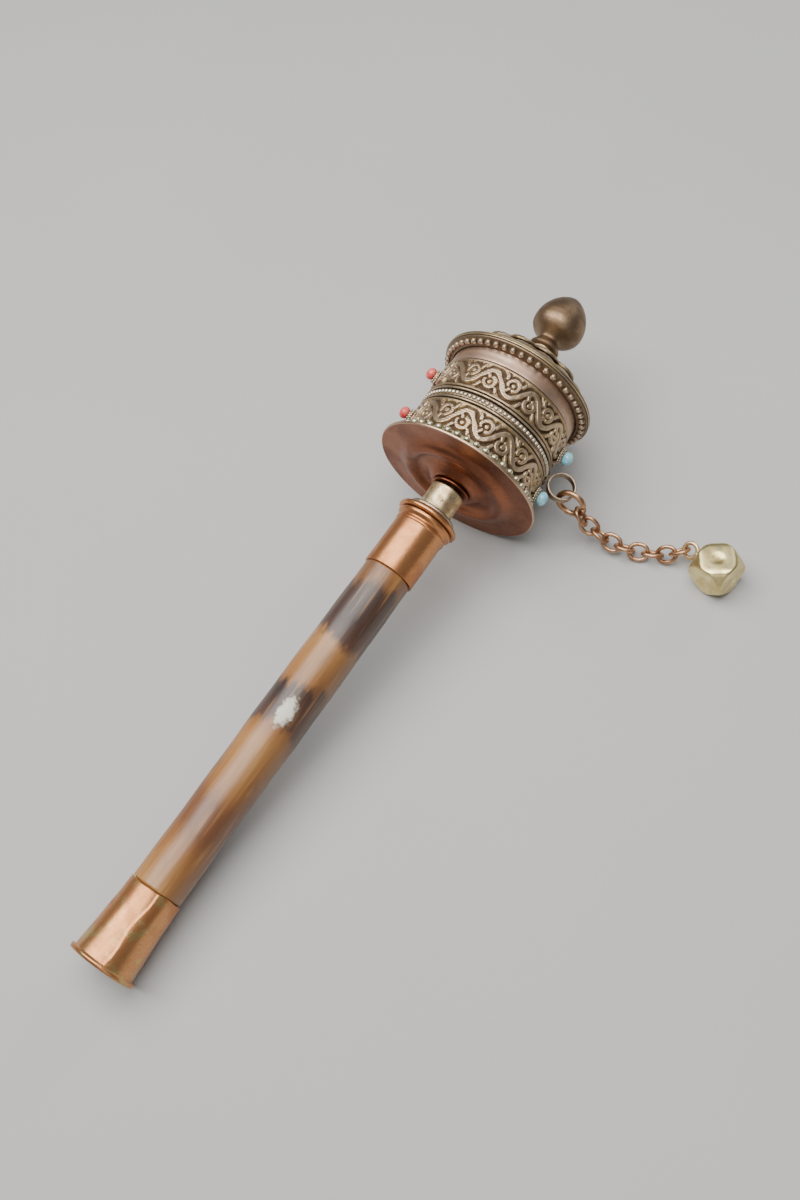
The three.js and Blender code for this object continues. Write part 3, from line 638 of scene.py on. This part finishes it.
def lapped_sleeve():
    """The foot's sleeve: a sheet rolled round until its edge laps over itself. The wall stands out along
    the lap, the upper edge wanders, and shallow dents cover it."""
    seat = Seat("lower_ferrule", HANDLE)
    grip = Seat("grip", HANDLE)
    foot, top, rim = seat.low, seat.high, seat.outer * FLAT
    a = angles(192)[None, :]
    up = np.linspace(0, 1, 60)[:, None]
    neck = grip.outer + 0.12
    flare = neck + (rim - 0.95 - neck) * (1 - up) ** 1.35
    seam = -2.72 + 0.05 * np.sin(9 * up) + 0.1 * up
    past = np.mod(a - seam, TURN)
    lap = 0.2 * (1 - smooth(past, 0.0, 0.9)) * smooth(past, 0.0, 0.035)
    dents = 0.07 * np.sin(4 * a + 5 * up) * np.sin(9 * up - 3 * a)
    h = foot + 1.3 + up * (top - foot - 1.5)
    edge = 0.25 * np.sin(3 * a + 1) + 0.15 * np.sin(8 * a) + 0.22 * (1 - smooth(past, 0, 0.5))
    outside = carried(flare + lap + dents, h + edge * up**6 * 0.6, a)
    rows = [(rim, foot + 1.15), (rim, foot + 0.7), (rim - 0.12, foot + 0.1), (rim - 0.6, foot),
            (rim - 1.0, foot + 0.1), (rim - 1.05, foot + 1.2)]
    inside = carried(flare[::-1] - 0.62, h[::-1], a)
    shape = skinned(np.concatenate([outside[::-1], *rings(rows, a), inside[::-1]]), ring=True)
    make("lapped_sleeve", shape, STAINED_COPPER, "copper", "lower_ferrule", *ON_HANDLE)


def foot_plate():
    seat = Seat("end_plate", HANDLE)
    r = seat.outer * FLAT
    share = np.linspace(0.04, 1, 26)[:, None]
    a = angles(96)[None, :]
    dome = carried(r * share, seat.low + 0.35 * share**6 + 0.04 * np.sin(5 * share + 2 * a), a)
    shape = skinned(np.concatenate([dome, *rings([(r, seat.high)], a)]))
    make("foot_plate", shape, END_PLATE, "pale_brass", "end_plate", *ON_HANDLE)


# --- the drum
def pressed_disc():
    """Sheet pressed to a hub, a valley, a raised ring and a flat brim, with a thin rolled edge. Slow
    waves of angle keep the brim from being perfectly true."""
    seat = Seat("base_disc", DRUM)
    rim, sheet, deep = seat.outer * FLAT, 0.9, seat.low
    neck = Seat("bushing", DRUM).outer
    under = np.array([
        (seat.inner, deep), (neck, deep), (neck + 0.7, deep + 0.2), (neck + 1.5, deep + 0.9),
        (neck + 3.2, -0.6), (neck + 5.0, -0.25), (12.4, -0.5), (13.6, -1.4), (14.6, -1.9),
        (15.4, -1.95), (16.4, -1.55), (17.6, -0.6), (18.8, -0.12), (21.5, 0.02), (rim - 0.7, 0.02),
        (rim - 0.25, -0.02), (rim, 0.2),
    ])
    over = under[::-1] + (0, sheet)
    over[0] = (rim, sheet - 0.1)
    profile = eased(np.concatenate([under, over]), 0.6, 5)
    a = angles(192)[None, :]
    r, h = profile[:, :1], profile[:, 1:]
    sway = 0.07 * (np.sin(3 * a + 0.4) + 0.6 * np.sin(7 * a)) * smooth(r, 10, 25)
    rolled = np.broadcast_to(0.3 + 0.65 * smooth(r, rim - 0.55, rim - 0.2), (len(r), 192))
    shape = skinned(carried(r, h + sway * 0.5, a), ring=True, raised=rolled)
    make("pressed_disc", shape, RED_COPPER, "red_copper", "base_disc")


def plain_washer(name, node, body, finish, slot):
    seat = Seat(node, DRUM)
    profile = eased([(seat.inner, seat.low), (seat.outer, seat.low), (seat.outer, seat.high),
            (seat.inner, seat.high)], 0.2)
    make(name, turned(profile, 64), finish, slot, node, DRUM, body)


def beads_at_the_foot():
    """Soft beads on a narrow strip between the disc and the lower band."""
    seat = Seat("foot_beads", DRUM)
    ring = seat.outer - seat.half
    strip = turned(eased([(ring - 0.8, seat.low + 0.1), (ring + 0.25, seat.low + 0.1),
            (ring + 0.1, seat.high - 0.2), (ring - 0.8, seat.high - 0.1)], 0.25))
    strip.raised[:] = 0.3
    row = beads(48, ring + 0.5, seat.middle[2] + 0.2, (1.06, 0.98, 0.98), 10, 5, 0.06)
    make("beads_at_the_foot", joined([strip, row]), FOOT_BEADS, "pale_brass", "foot_beads")


def near_line(x, y, ends, half):
    """How far a point lies outside a stroke of some half width that runs between two ends."""
    (x0, y0), (x1, y1) = ends
    length = (x1 - x0) ** 2 + (y1 - y0) ** 2
    t = np.clip(((x - x0) * (x1 - x0) + (y - y0) * (y1 - y0)) / length, 0, 1)
    return np.hypot(x - x0 - t * (x1 - x0), y - y0 - t * (y1 - y0)) - half


def near_curl(x, y, centre, radius, opening, gap, half):
    """How far a point lies outside a ring stroke that is left open for a gap round one angle."""
    dx, dy = x - centre[0], y - centre[1]
    away = np.abs(np.mod(np.arctan2(dy, dx) - opening + math.pi, TURN) - math.pi)
    ring = np.abs(np.hypot(dx, dy) - radius)
    tips = [np.hypot(dx - radius * math.cos(opening + side), dy - radius * math.sin(opening + side))
            for side in (-gap, gap)]
    return np.where(away > gap, ring, np.minimum(*tips)) - half


def running_vine(x, y, width, tall):
    """The distance outside a running vine. Its stem is a wave, and in each bay under the wave a tendril
    curls round a bud between two short leaves. Every second bay is the one before it turned over."""
    flip = 1 - 2 * np.mod(np.floor(2 * x / width), 2)
    x, y = np.mod(x, width / 2) - width / 4, y * flip
    pace, sweep = TURN / width, 0.4 * tall
    stem = np.abs(y - sweep * np.cos(pace * x)) / np.hypot(1, sweep * pace * np.sin(pace * x)) - 0.72
    parts = [
        stem,
        near_curl(x, y, (0.1, -0.16 * tall), 0.235 * tall, 2.1, 0.75, 0.56),
        near_line(x, y, ((0.1, -0.16 * tall), (0.25, -0.14 * tall)), 0.62),
        near_line(x, y, ((-0.06 * width, 0.06 * tall), (-0.1 * width, 0.2 * tall)), 0.5),
        *(near_line(x, y, ((0.19 * q, -0.34 * tall), (0.235 * q, -0.5 * tall)), 0.5)
          for q in (width, -width)),
    ]
    return np.minimum.reduce(parts)


def relief_sleeve(name, node, phase):
    """A sleeve whose ornament stands proud. Its radius rises over a stroke, falls to a sunk line all
    round it, and comes back to the plain ground."""
    seat = Seat(node, DRUM)
    r, low, high = seat.outer, seat.low, seat.high
    repeats, columns = 10, 1008
    a = angles(columns)[None, :]
    h = np.linspace(low + 0.12, high - 0.12, 74)[:, None]
    x, y = (a + phase) * r, h - (low + high) / 2
    width = TURN * r / repeats
    wander = 0.09 * np.sin(3.1 * x / width + 2 * y) + 0.07 * np.sin(9 * a + 1.7 * y)
    away = running_vine(x + wander, y + 0.5 * wander, width, high - low - 3.0) + 0.3 * wander
    stroke = 1 - smooth(away, -0.14, 0.16)
    sunk = smooth(away, -0.05, 0.16) * (1 - smooth(away, 0.75, 1.0))
    border = smooth(np.abs(y), (high - low) / 2 - 0.95, (high - low) / 2 - 0.6)
    sunk = sunk * (1 - border)
    relief = 0.34 * stroke - 0.42 * sunk + 0.1 * border
    relief = relief + 0.03 * np.sin(23 * a + 5 * h) * np.sin(4 * h - 31 * a)
    outside = carried(r - 0.1 + relief, h, a)
    raised = 0.52 + 0.34 * stroke - 0.42 * sunk + 0.2 * border * (1 - stroke)
    ends = rings([(r - 0.15, high), (seat.inner + 0.02, high),
            (seat.inner + 0.02, low), (r - 0.15, low)], a)
    lift = np.concatenate([raised, np.full((len(ends), columns), 0.2)])
    shape = skinned(np.concatenate([outside, *ends]), ring=True, raised=lift)
    make(name, shape, RELIEF, "bronze", node)


def plain_wire(name, node):
    seat = Seat(node, DRUM)
    half = seat.half
    a = angles(256)
    ring = carried(seat.outer - half, seat.middle[2] + 0.03 * np.sin(6 * a), a)
    make(name, wire(ring, half * 0.95, 10), WIRE_BRONZE, "bronze", node)


def beaded_band():
    """A sunk strip between the two wires that carries a row of small rubbed beads."""
    seat = Seat("bead_band", DRUM)
    strip = turned(eased([(seat.inner, seat.low), (seat.outer - 0.35, seat.low),
            (seat.outer - 0.35, seat.high), (seat.inner, seat.high)], 0.12), 192)
    strip.raised[:] = 0.42
    row = beads(92, seat.outer - 0.3, seat.middle[2], (0.66, 0.74, 0.62), 8, 4, 0.04)
    make("beaded_band", joined([strip, row]), BEAD_SILVER, "pale_brass", "bead_band")


def rose_band():
    """Smooth sheet round the drum's top, with shallow dings."""
    seat = Seat("plain_band", DRUM)
    h = np.linspace(seat.low + 0.1, seat.high - 0.1, 24)[:, None]
    a = angles(256)[None, :]
    dings = 0.03 * np.sin(6 * a + 2 * h) * np.sin(4 * a - h)
    ends = rings([(seat.inner + 0.02, seat.high), (seat.inner + 0.02, seat.low)], a)
    shape = skinned(np.concatenate([carried(seat.outer - 0.03 + dings, h, a), *ends]), ring=True)
    make("rose_band", shape, ROSE_COPPER, "copper", "plain_band")


def domed_lid():
    """A sheet lid with a thin brim of two rolled lines. Its slope is chased with petals: a ridge along
    each, a hollow where two meet, and fine veins and scallops across them."""
    seat = Seat("lid", DRUM)
    low, rim, rise = seat.low, seat.outer * FLAT, seat.high - seat.low
    columns = 480
    top = np.linspace(0, 1, 70)[:, None]
    a = angles(columns)[None, :]
    r = rim - 0.6 - (rim - 6.6) * top
    h = low + 1.1 + (rise - 1.2) * np.interp(top, (0, 0.11, 0.34, 0.78, 1), (0, 0.15, 0.37, 0.745, 1))
    petal = np.abs(np.sin(9 * a + 0.25 * np.sin(9 * top)))
    tip = smooth(top, 0.05, 0.16) * (1 - smooth(top, 0.86, 0.95))
    chased = tip * (0.55 * petal**0.6 - 0.3 * (1 - smooth(petal, 0.05, 0.3)))
    veins = 0.14 * np.abs(np.sin(36 * a)) * tip * smooth(petal, 0.5, 0.9)
    scallop = smooth(np.sin(40 * top + 3 * petal), 0.2, 0.9) * 0.18 * tip
    slope = carried(r, h + (chased + veins - scallop) * 0.8, a)
    brim = [(rim - 0.55, low + 1.1), (rim - 0.3, low + 1.15), (rim - 0.08, low + 1.0),
            (rim - 0.22, low + 0.78), (rim - 0.22, low + 0.6), (rim - 0.03, low + 0.42),
            (rim, low + 0.22), (rim - 0.12, low + 0.05), (rim - 0.35, low + 0.02)]
    rubbed = [0.7, 0.9, 0.9, 0.2, 0.2, 0.85, 0.95, 0.7, 0.4]
    wall = Seat("drum_shell", DRUM).inner
    under = [(rim - 0.9, low + 0.22), (wall, low + 0.22), (wall, low + 1.0),
            (17.2, low + 4.3), (9.5, low + 8.2), (5.6, seat.high - 1.0), (seat.inner, seat.high - 0.9),
            (seat.inner, seat.high), (6.2, seat.high)]
    grid = np.concatenate([*rings(brim[::-1], a), slope, *rings(under[::-1], a)])
    raised = np.concatenate([np.repeat(np.array(rubbed)[::-1, None], columns, 1),
        0.32 + 0.5 * chased / 0.55 + veins - scallop, np.full((len(under), columns), 0.15)])
    make("domed_lid", skinned(grid, ring=True, raised=raised), LID_BRONZE, "bronze", "lid")


def beads_under_the_lid():
    """A sloping strip under the lid's brim that carries a row of round beads."""
    seat = Seat("lid_beads", DRUM)
    ring = seat.outer - seat.half
    face = seat.high + 0.35
    strip = turned(eased([(seat.inner - 0.5, seat.low + 0.25), (ring + 1.2, face - 0.45),
            (ring + 1.35, face), (seat.inner - 0.5, face)], 0.15), 192)
    strip.raised[:] = 0.27
    row = beads(52, ring + 0.08, seat.middle[2] - 0.02, (0.96, 0.96, 1.0), 12, 6, hanging=True)
    make("beads_under_the_lid", joined([strip, row]), LID_BEADS, "pale_brass", "lid_beads")


def petal_crown():
    """Overlapping leaves round the lid's upper slope: the foot is scalloped, and each leaf is hollowed
    between raised edges."""
    seat = Seat("petal_collar", DRUM)
    rows, columns = 40, 480
    a = angles(columns)[None, :]
    t = np.linspace(0, 1, rows)[:, None]
    leaf = np.abs(np.cos(6 * a))
    reach = 0.72 + 0.28 * leaf**0.7
    foot, top = seat.outer - 0.3, seat.inner + 0.1
    r = top + (foot - top) * reach * (1 - t)
    h = seat.high - 0.75 - (seat.high - seat.low - 1.5) * (r - top) / (foot - top)
    edge = 1 - smooth(np.minimum(1.5 * t, 1 - t) * 5 * leaf, 0.15, 0.5)
    lift = 0.35 + 0.3 * leaf + 0.25 * edge * (1 - smooth(t, 0.85, 1.0))
    veins = 0.1 * np.abs(np.sin(30 * a + 2 * t))
    over = carried(r, h + lift + veins, a)
    under = carried(r[::-1], h[::-1] - 0.25, a)
    raised = np.concatenate([0.4 + 0.5 * edge + veins * 2, np.full((rows, columns), 0.1)])
    shape = skinned(np.concatenate([over, under]), ring=True, raised=raised)
    make("petal_crown", shape, LID_BRONZE, "bronze", "petal_collar")


def beaded_neck():
    """A waisted collar with a ring of grains at its foot."""
    seat = Seat("neck", DRUM)
    low, high = seat.low, seat.high
    profile = eased([
        (seat.inner, low), (seat.outer - 0.5, low), (seat.outer - 0.3, low + 0.7), (4.6, low + 1.0),
        (4.1, low + 1.4), (4.7, low + 1.9), (4.7, high - 0.1), (seat.inner, high),
    ], 0.25)
    body = turned(profile, 96)
    body.raised[:] = 0.6
    grains = beads(26, seat.outer - 0.55, low + 0.5, (0.5, 0.5, 0.5), 7, 3)
    make("beaded_neck", joined([body, grains]), BEAD_SILVER, "pale_brass", "neck")


def onion_bud():
    """A turned bud on a short stalk: its radius swells to a shoulder and falls in a full curve to a
    small blunt tip. Faint dents cross it."""
    seat = Seat("finial", DRUM)
    tall = seat.high - seat.low
    share = np.array([0, 0.05, 0.1, 0.14, 0.18, 0.23, 0.29, 0.36, 0.44, 0.53, 0.62, 0.71, 0.79, 0.86,
            0.92, 0.965, 0.99])
    girth = np.array([0.6, 0.61, 0.5, 0.43, 0.47, 0.62, 0.82, 0.95, 1.0, 0.995, 0.945, 0.85, 0.73, 0.58,
            0.42, 0.26, 0.12])
    t = np.linspace(0, 0.992, 110)
    r = seat.outer * np.interp(t, share, girth)
    kernel = np.hanning(11) / np.hanning(11).sum()
    r = np.convolve(np.pad(r, 5, mode="edge"), kernel, mode="valid")
    a = angles(112)[None, :]
    dents = 0.04 * np.sin(3 * a + 9 * t[:, None]) * np.sin(2 * a - 6 * t[:, None]) - 0.04
    grid = carried(r[:, None] + dents * r[:, None] / 8, (seat.low + t * tall)[:, None], a)
    make("onion_bud", skinned(grid), FINIAL_BRONZE, "finial_bronze", "finial", DRUM, "handle")


def set_stone(kind, row, finish):
    """A cabochon in a cup ringed with grains, standing square on the drum."""
    cup, gem = Seat(f"{kind}_setting_{row}", DRUM), Seat(f"{kind}_{row}", DRUM)
    out = cup.way
    side = np.cross(UP, out)
    place = np.stack([UP, side, out])
    half, wide = gem.half, cup.half
    foot = cup.off - 0.6
    origin = out * foot + UP * cup.middle[2]
    cup_wall = turned(eased([(0.02, 0.02), (wide - 0.25, 0), (wide - 0.2, 0.55), (half + 0.02, 1.15),
            (half - 0.3, 0.85), (0.02, 0.75)], 0.12), 64)
    cup_wall.raised[:] = 0.45
    grains = beads(18, wide - 0.22, 0.36, (0.36, 0.36, 0.34), 7, 3)
    upper = beads(16, half + 0.08, 0.98, (0.27, 0.27, 0.25), 7, 3)
    setting = joined([cup_wall, grains, upper]).moved(place, origin).faced()
    make(f"{kind}_cup_{row}", setting, BEAD_SILVER, "pale_brass", f"{kind}_setting_{row}")
    top = gem.outer - foot
    stone = ball(40, 20, (half, half, (top - 0.75) / 2))
    stone.points[:, 2] += (top + 0.75) / 2
    make(f"{kind}_stone_{row}", stone.moved(place, origin), finish, kind, f"{kind}_{row}")


def chain_eyelet():
    """A short wide tube that stands on a small plate. Its rims are rolled and its wall bulges."""
    seat = Seat("chain_ring", DRUM)
    out = seat.way
    along = np.cross(UP, out)
    place = np.stack([out, -UP, along])
    r, half = seat.half, 1.28
    profile = eased([(r - 0.6, -half), (r - 0.02, -half), (r - 0.02, -half + 0.4), (r - 0.14, 0),
            (r - 0.02, half - 0.4), (r - 0.02, half), (r - 0.6, half), (r - 0.5, 0)], 0.2)
    origin = out * seat.off + UP * seat.middle[2]
    eyelet = turned(profile, 80).moved(place, origin).faced()
    make("chain_eyelet", eyelet, WIRE_BRONZE, "bronze", "chain_ring")


def eyelet_plate():
    """A small shaped plate with a granulated edge between the eyelet and the drum."""
    seat = Seat("chain_ring_pad", DRUM)
    out = seat.way
    side = np.cross(UP, out)
    place = np.stack([side, UP, out])
    a = angles(96)
    outline = 0.86 + 0.14 * np.cos(4 * a) ** 2
    rows = [(0.5, 0.0), (1.0, 0.02), (1.0, 0.4), (0.9, 0.56), (0.5, 0.58)]
    wide, tall = 1.98, 2.45
    grid = np.stack([np.stack([wide * q * outline * np.cos(a), tall * q * outline * np.sin(a),
            np.full(96, at)], -1) for q, at in rows])
    plate = skinned(grid)
    plate.raised[:] = 0.5
    b = angles(18)
    spots = np.stack([1.55 * np.cos(b), 2.0 * np.sin(b), np.full(18, 0.45)], -1)
    grains = repeated(ball(7, 3, (0.25, 0.25, 0.22)), np.broadcast_to(np.eye(3), (18, 3, 3)), spots)
    near = out * (seat.off - 0.3) + UP * seat.middle[2]
    shape = joined([plate, grains]).moved(place, near)
    make("eyelet_plate", shape.faced(), LID_BEADS, "pale_brass", "chain_ring_pad")


# --- the chain
def thinnest(node):
    """The way that a ring-shaped node is thinnest: its normal, on the side that looks up."""
    points = corners(node)
    normal = np.linalg.eigh(np.cov((points - points.mean(0)).T))[1][:, 0]
    return -normal if normal[2] < 0 else normal


CHAIN = ["jump_ring"] + [f"link_{number}" for number in range(1, 10)] + ["weight"]
PIVOTS = {body: np.array(JOINTS[f"{body}_swing"]["pos_m"]) for body in CHAIN}


def chain_axes(body, after):
    """A link's own frame: x runs along the chain and z is the link's normal."""
    along = PIVOTS[after] - PIVOTS[body]
    return Axes(middle_of(body), thinnest(body), along)


def middle_of(node):
    """The middle of a ring-shaped node, from the two ends of its points along each of its own ways."""
    points = corners(node)
    ways = np.linalg.eigh(np.cov((points - points.mean(0)).T))[1]
    own = points @ ways
    return ways @ ((own.max(0) + own.min(0)) / 2)


def split_ring():
    """A heavy ring of wire whose cut ends stand a little apart. The wire thins to each end, and a slow
    wave takes it out of true."""
    axes = chain_axes("jump_ring", "link_1")
    _, r, half = np.ptp(axes.into(corners("jump_ring")), 0) / 2
    r -= half
    cut, opening = math.radians(50), math.radians(8)
    a = np.linspace(opening, TURN - opening, 120) + cut
    t = np.linspace(-1, 1, 120)
    path = np.stack([r * np.cos(a), r * np.sin(a) * 0.985, 0.07 * np.sin(2 * a)], -1)
    thick = half * (0.97 - 0.1 * np.abs(t) ** 12) + 0.02 * np.sin(5 * a)
    make("split_ring", wire(path, thick, 16, closed=False), CHAIN_COPPER,
         "chain_copper", "jump_ring", axes, "jump_ring")


def chain_link(number):
    """An oval of round wire. Each is squeezed and bent a little differently, is thinned where its
    neighbours rub it, and has a brazed lump on one side."""
    name = f"link_{number}"
    after = f"link_{number + 1}" if number < 9 else "weight"
    axes = chain_axes(name, after)
    long, wide, half = np.ptp(axes.into(corners(name)), 0) / 2
    long, wide = long - half, wide - half
    a = angles(72)
    squeeze = 1 + 0.018 * np.sin(2 * a + number)
    path = np.stack([
        long * np.sign(np.cos(a)) * np.abs(np.cos(a)) ** 0.94 * squeeze,
        wide * np.sign(np.sin(a)) * np.abs(np.sin(a)) ** 0.9 * squeeze,
        0.05 * np.sin(2 * a + 2.1 * number),
    ], -1)
    rubbed = 0.05 * np.cos(a) ** 8
    lump = 0.06 * np.exp(-((np.mod(a - 1.2 - number, TURN) - math.pi) / 0.22) ** 2)
    thick = half - 0.035 - rubbed + lump + 0.012 * np.sin(7 * a + number)
    make(f"chain_link_{number}", wire(path, thick, 14), CHAIN_COPPER, "chain_copper",
         name, axes, name)


def weight_axes():
    along = middle("weight") - PIVOTS["weight"]
    along[2] = 0
    return Axes(middle("weight"), UP, along)


def faceted_weight():
    """A cast lump: a cube with its corners cut back. Along each way d it reaches (the sum of
    max(0, d.n / h)^p)^(-1/p) over the faces n at distances h, which rounds every edge. Each square face
    has a shallow dish in its middle."""
    axes = weight_axes()
    low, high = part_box("weight")
    h = (high.z - low.z) / 2 / MM
    squares = np.concatenate([np.eye(3), -np.eye(3)])
    signs = np.array([[i, j, k] for i in (-1, 1) for j in (-1, 1) for k in (-1, 1)]) / math.sqrt(3)
    faces = np.concatenate([squares, signs])
    far = np.concatenate([np.full(6, h), np.full(8, 1.27 * h)])
    polar = np.linspace(0.02, math.pi - 0.02, 120)[:, None]
    way = carried(np.sin(polar), -np.cos(polar), angles(200)[None, :])
    press = np.clip(way @ faces.T / far, 0, None)
    reach = (press**17).sum(-1) ** (-1 / 17)
    off = np.arccos(np.clip((way @ squares.T).max(-1), -1, 1))
    dish = 0.42 * np.exp(-((off / 0.27) ** 4))
    dents = 0.05 * np.sin(5 * way[..., 0] + 7 * way[..., 1]) * np.sin(6 * way[..., 2] - 4 * way[..., 0])
    grid = way * (reach - dish - 0.05 + dents)[..., None]
    grid[..., 2] = np.maximum(grid[..., 2], -h + 0.01)
    make("faceted_weight", skinned(grid), WEIGHT_BRASS, "weight_brass", "weight", axes, "weight")


def wire_eye():
    """A small brass ring with its shank, thickened where the two meet."""
    along = weight_axes().rows[0]
    points = corners("weight_eye")
    normal = thinnest("weight_eye")
    ring_half = np.ptp(points @ np.cross(normal, along)) / 2
    foot = middle("weight")
    reach = ring_half - (foot @ along - (points @ along).min())
    axes = Axes(foot + along * reach, normal, along)
    half = 0.63
    r = ring_half / MM - half
    a = angles(80)
    ring = wire(np.stack([r * np.cos(a), r * np.sin(a), 0 * a], -1), half, 14)
    run = np.linspace(r - 0.1, -reach / MM - 4.2, 24)
    thick = 0.6 + 0.25 * np.exp(-((run - run[0]) / 0.5) ** 2)
    b = angles(20)[None, :]
    shank = carried(thick[:, None], run[:, None], b)[..., [2, 0, 1]]
    make("wire_eye", joined([ring, skinned(shank)]), PALE_BRASS, "pale_brass",
         "weight_eye", axes, "weight")


# --- every piece
horn_grip()
upper_sleeve()
rolled_flange()
rope_collar()
pale_bushing()
lapped_sleeve()
foot_plate()
pressed_disc()
plain_washer("hub_washer", "lower_washer", "drum", RED_COPPER, "red_copper")
plain_washer("bud_washer", "upper_washer", "handle", PALE_BRASS, "pale_brass")
beads_at_the_foot()
relief_sleeve("lower_scrollwork", "lower_relief_band", 0.1)
relief_sleeve("upper_scrollwork", "upper_relief_band", 0.1)
plain_wire("lower_round_wire", "lower_wire")
plain_wire("upper_round_wire", "upper_wire")
beaded_band()
rose_band()
domed_lid()
beads_under_the_lid()
petal_crown()
beaded_neck()
onion_bud()
for kind, finish in (("coral", CORAL), ("turquoise", TURQUOISE)):
    for row in ("lower", "upper"):
        set_stone(kind, row, finish)
chain_eyelet()
eyelet_plate()
split_ring()
for number in range(1, 10):
    chain_link(number)
wire_eye()
faceted_weight()


# --- floor and light
def pale_floor():
    """A wide level sheet, a hair below the object so that the two never share a plane."""
    mesh = bpy.data.meshes.new("floor")
    far, below = 3, -0.00002
    points = [(x, y, below) for x, y in ((-far, -far), (far, -far), (far, far), (-far, far))]
    mesh.from_pydata(points, [], [(0, 1, 2, 3)])
    f = Finish("floor_paint")
    tone = f.noise(0.01, 2, 0.5)
    colour = f.mix(tone, (0.42, 0.417, 0.41), (0.45, 0.447, 0.44))
    mesh.materials.append(f.done(colour, 0.75 + 0.05 * tone))
    floor = bpy.data.objects.new("floor", mesh)
    bpy.context.scene.collection.objects.link(floor)


def soft_light(name, place, size, power, colour):
    """A rectangular lamp that looks at the middle of the row frame."""
    data = bpy.data.lights.new(name, "AREA")
    data.shape = "RECTANGLE"
    data.size, data.size_y = size
    data.energy = power
    data.color = colour
    light = bpy.data.objects.new(name, data)
    bpy.context.scene.collection.objects.link(light)
    way = -Vector(place)
    light.matrix_world = Matrix.Translation(place) @ way.to_track_quat("-Z", "Y").to_matrix().to_4x4()


pale_floor()
soft_light("window", (-0.02, 0.16, 0.8), (0.7, 1.1), 15.5, (1.0, 0.985, 0.96))
soft_light("fill", (-0.75, -0.5, 0.5), (0.6, 0.4), 1.2, (1.0, 0.99, 0.98))
soft_light("back", (0.75, -0.1, 0.45), (0.3, 0.6), 1.2, (0.95, 0.97, 1.0))
world = bpy.data.worlds.new("room")
world.use_nodes = True
world.node_tree.nodes["Background"].inputs["Color"].default_value = (0.75, 0.78, 0.82, 1)
world.node_tree.nodes["Background"].inputs["Strength"].default_value = 0.2
bpy.context.scene.world = world
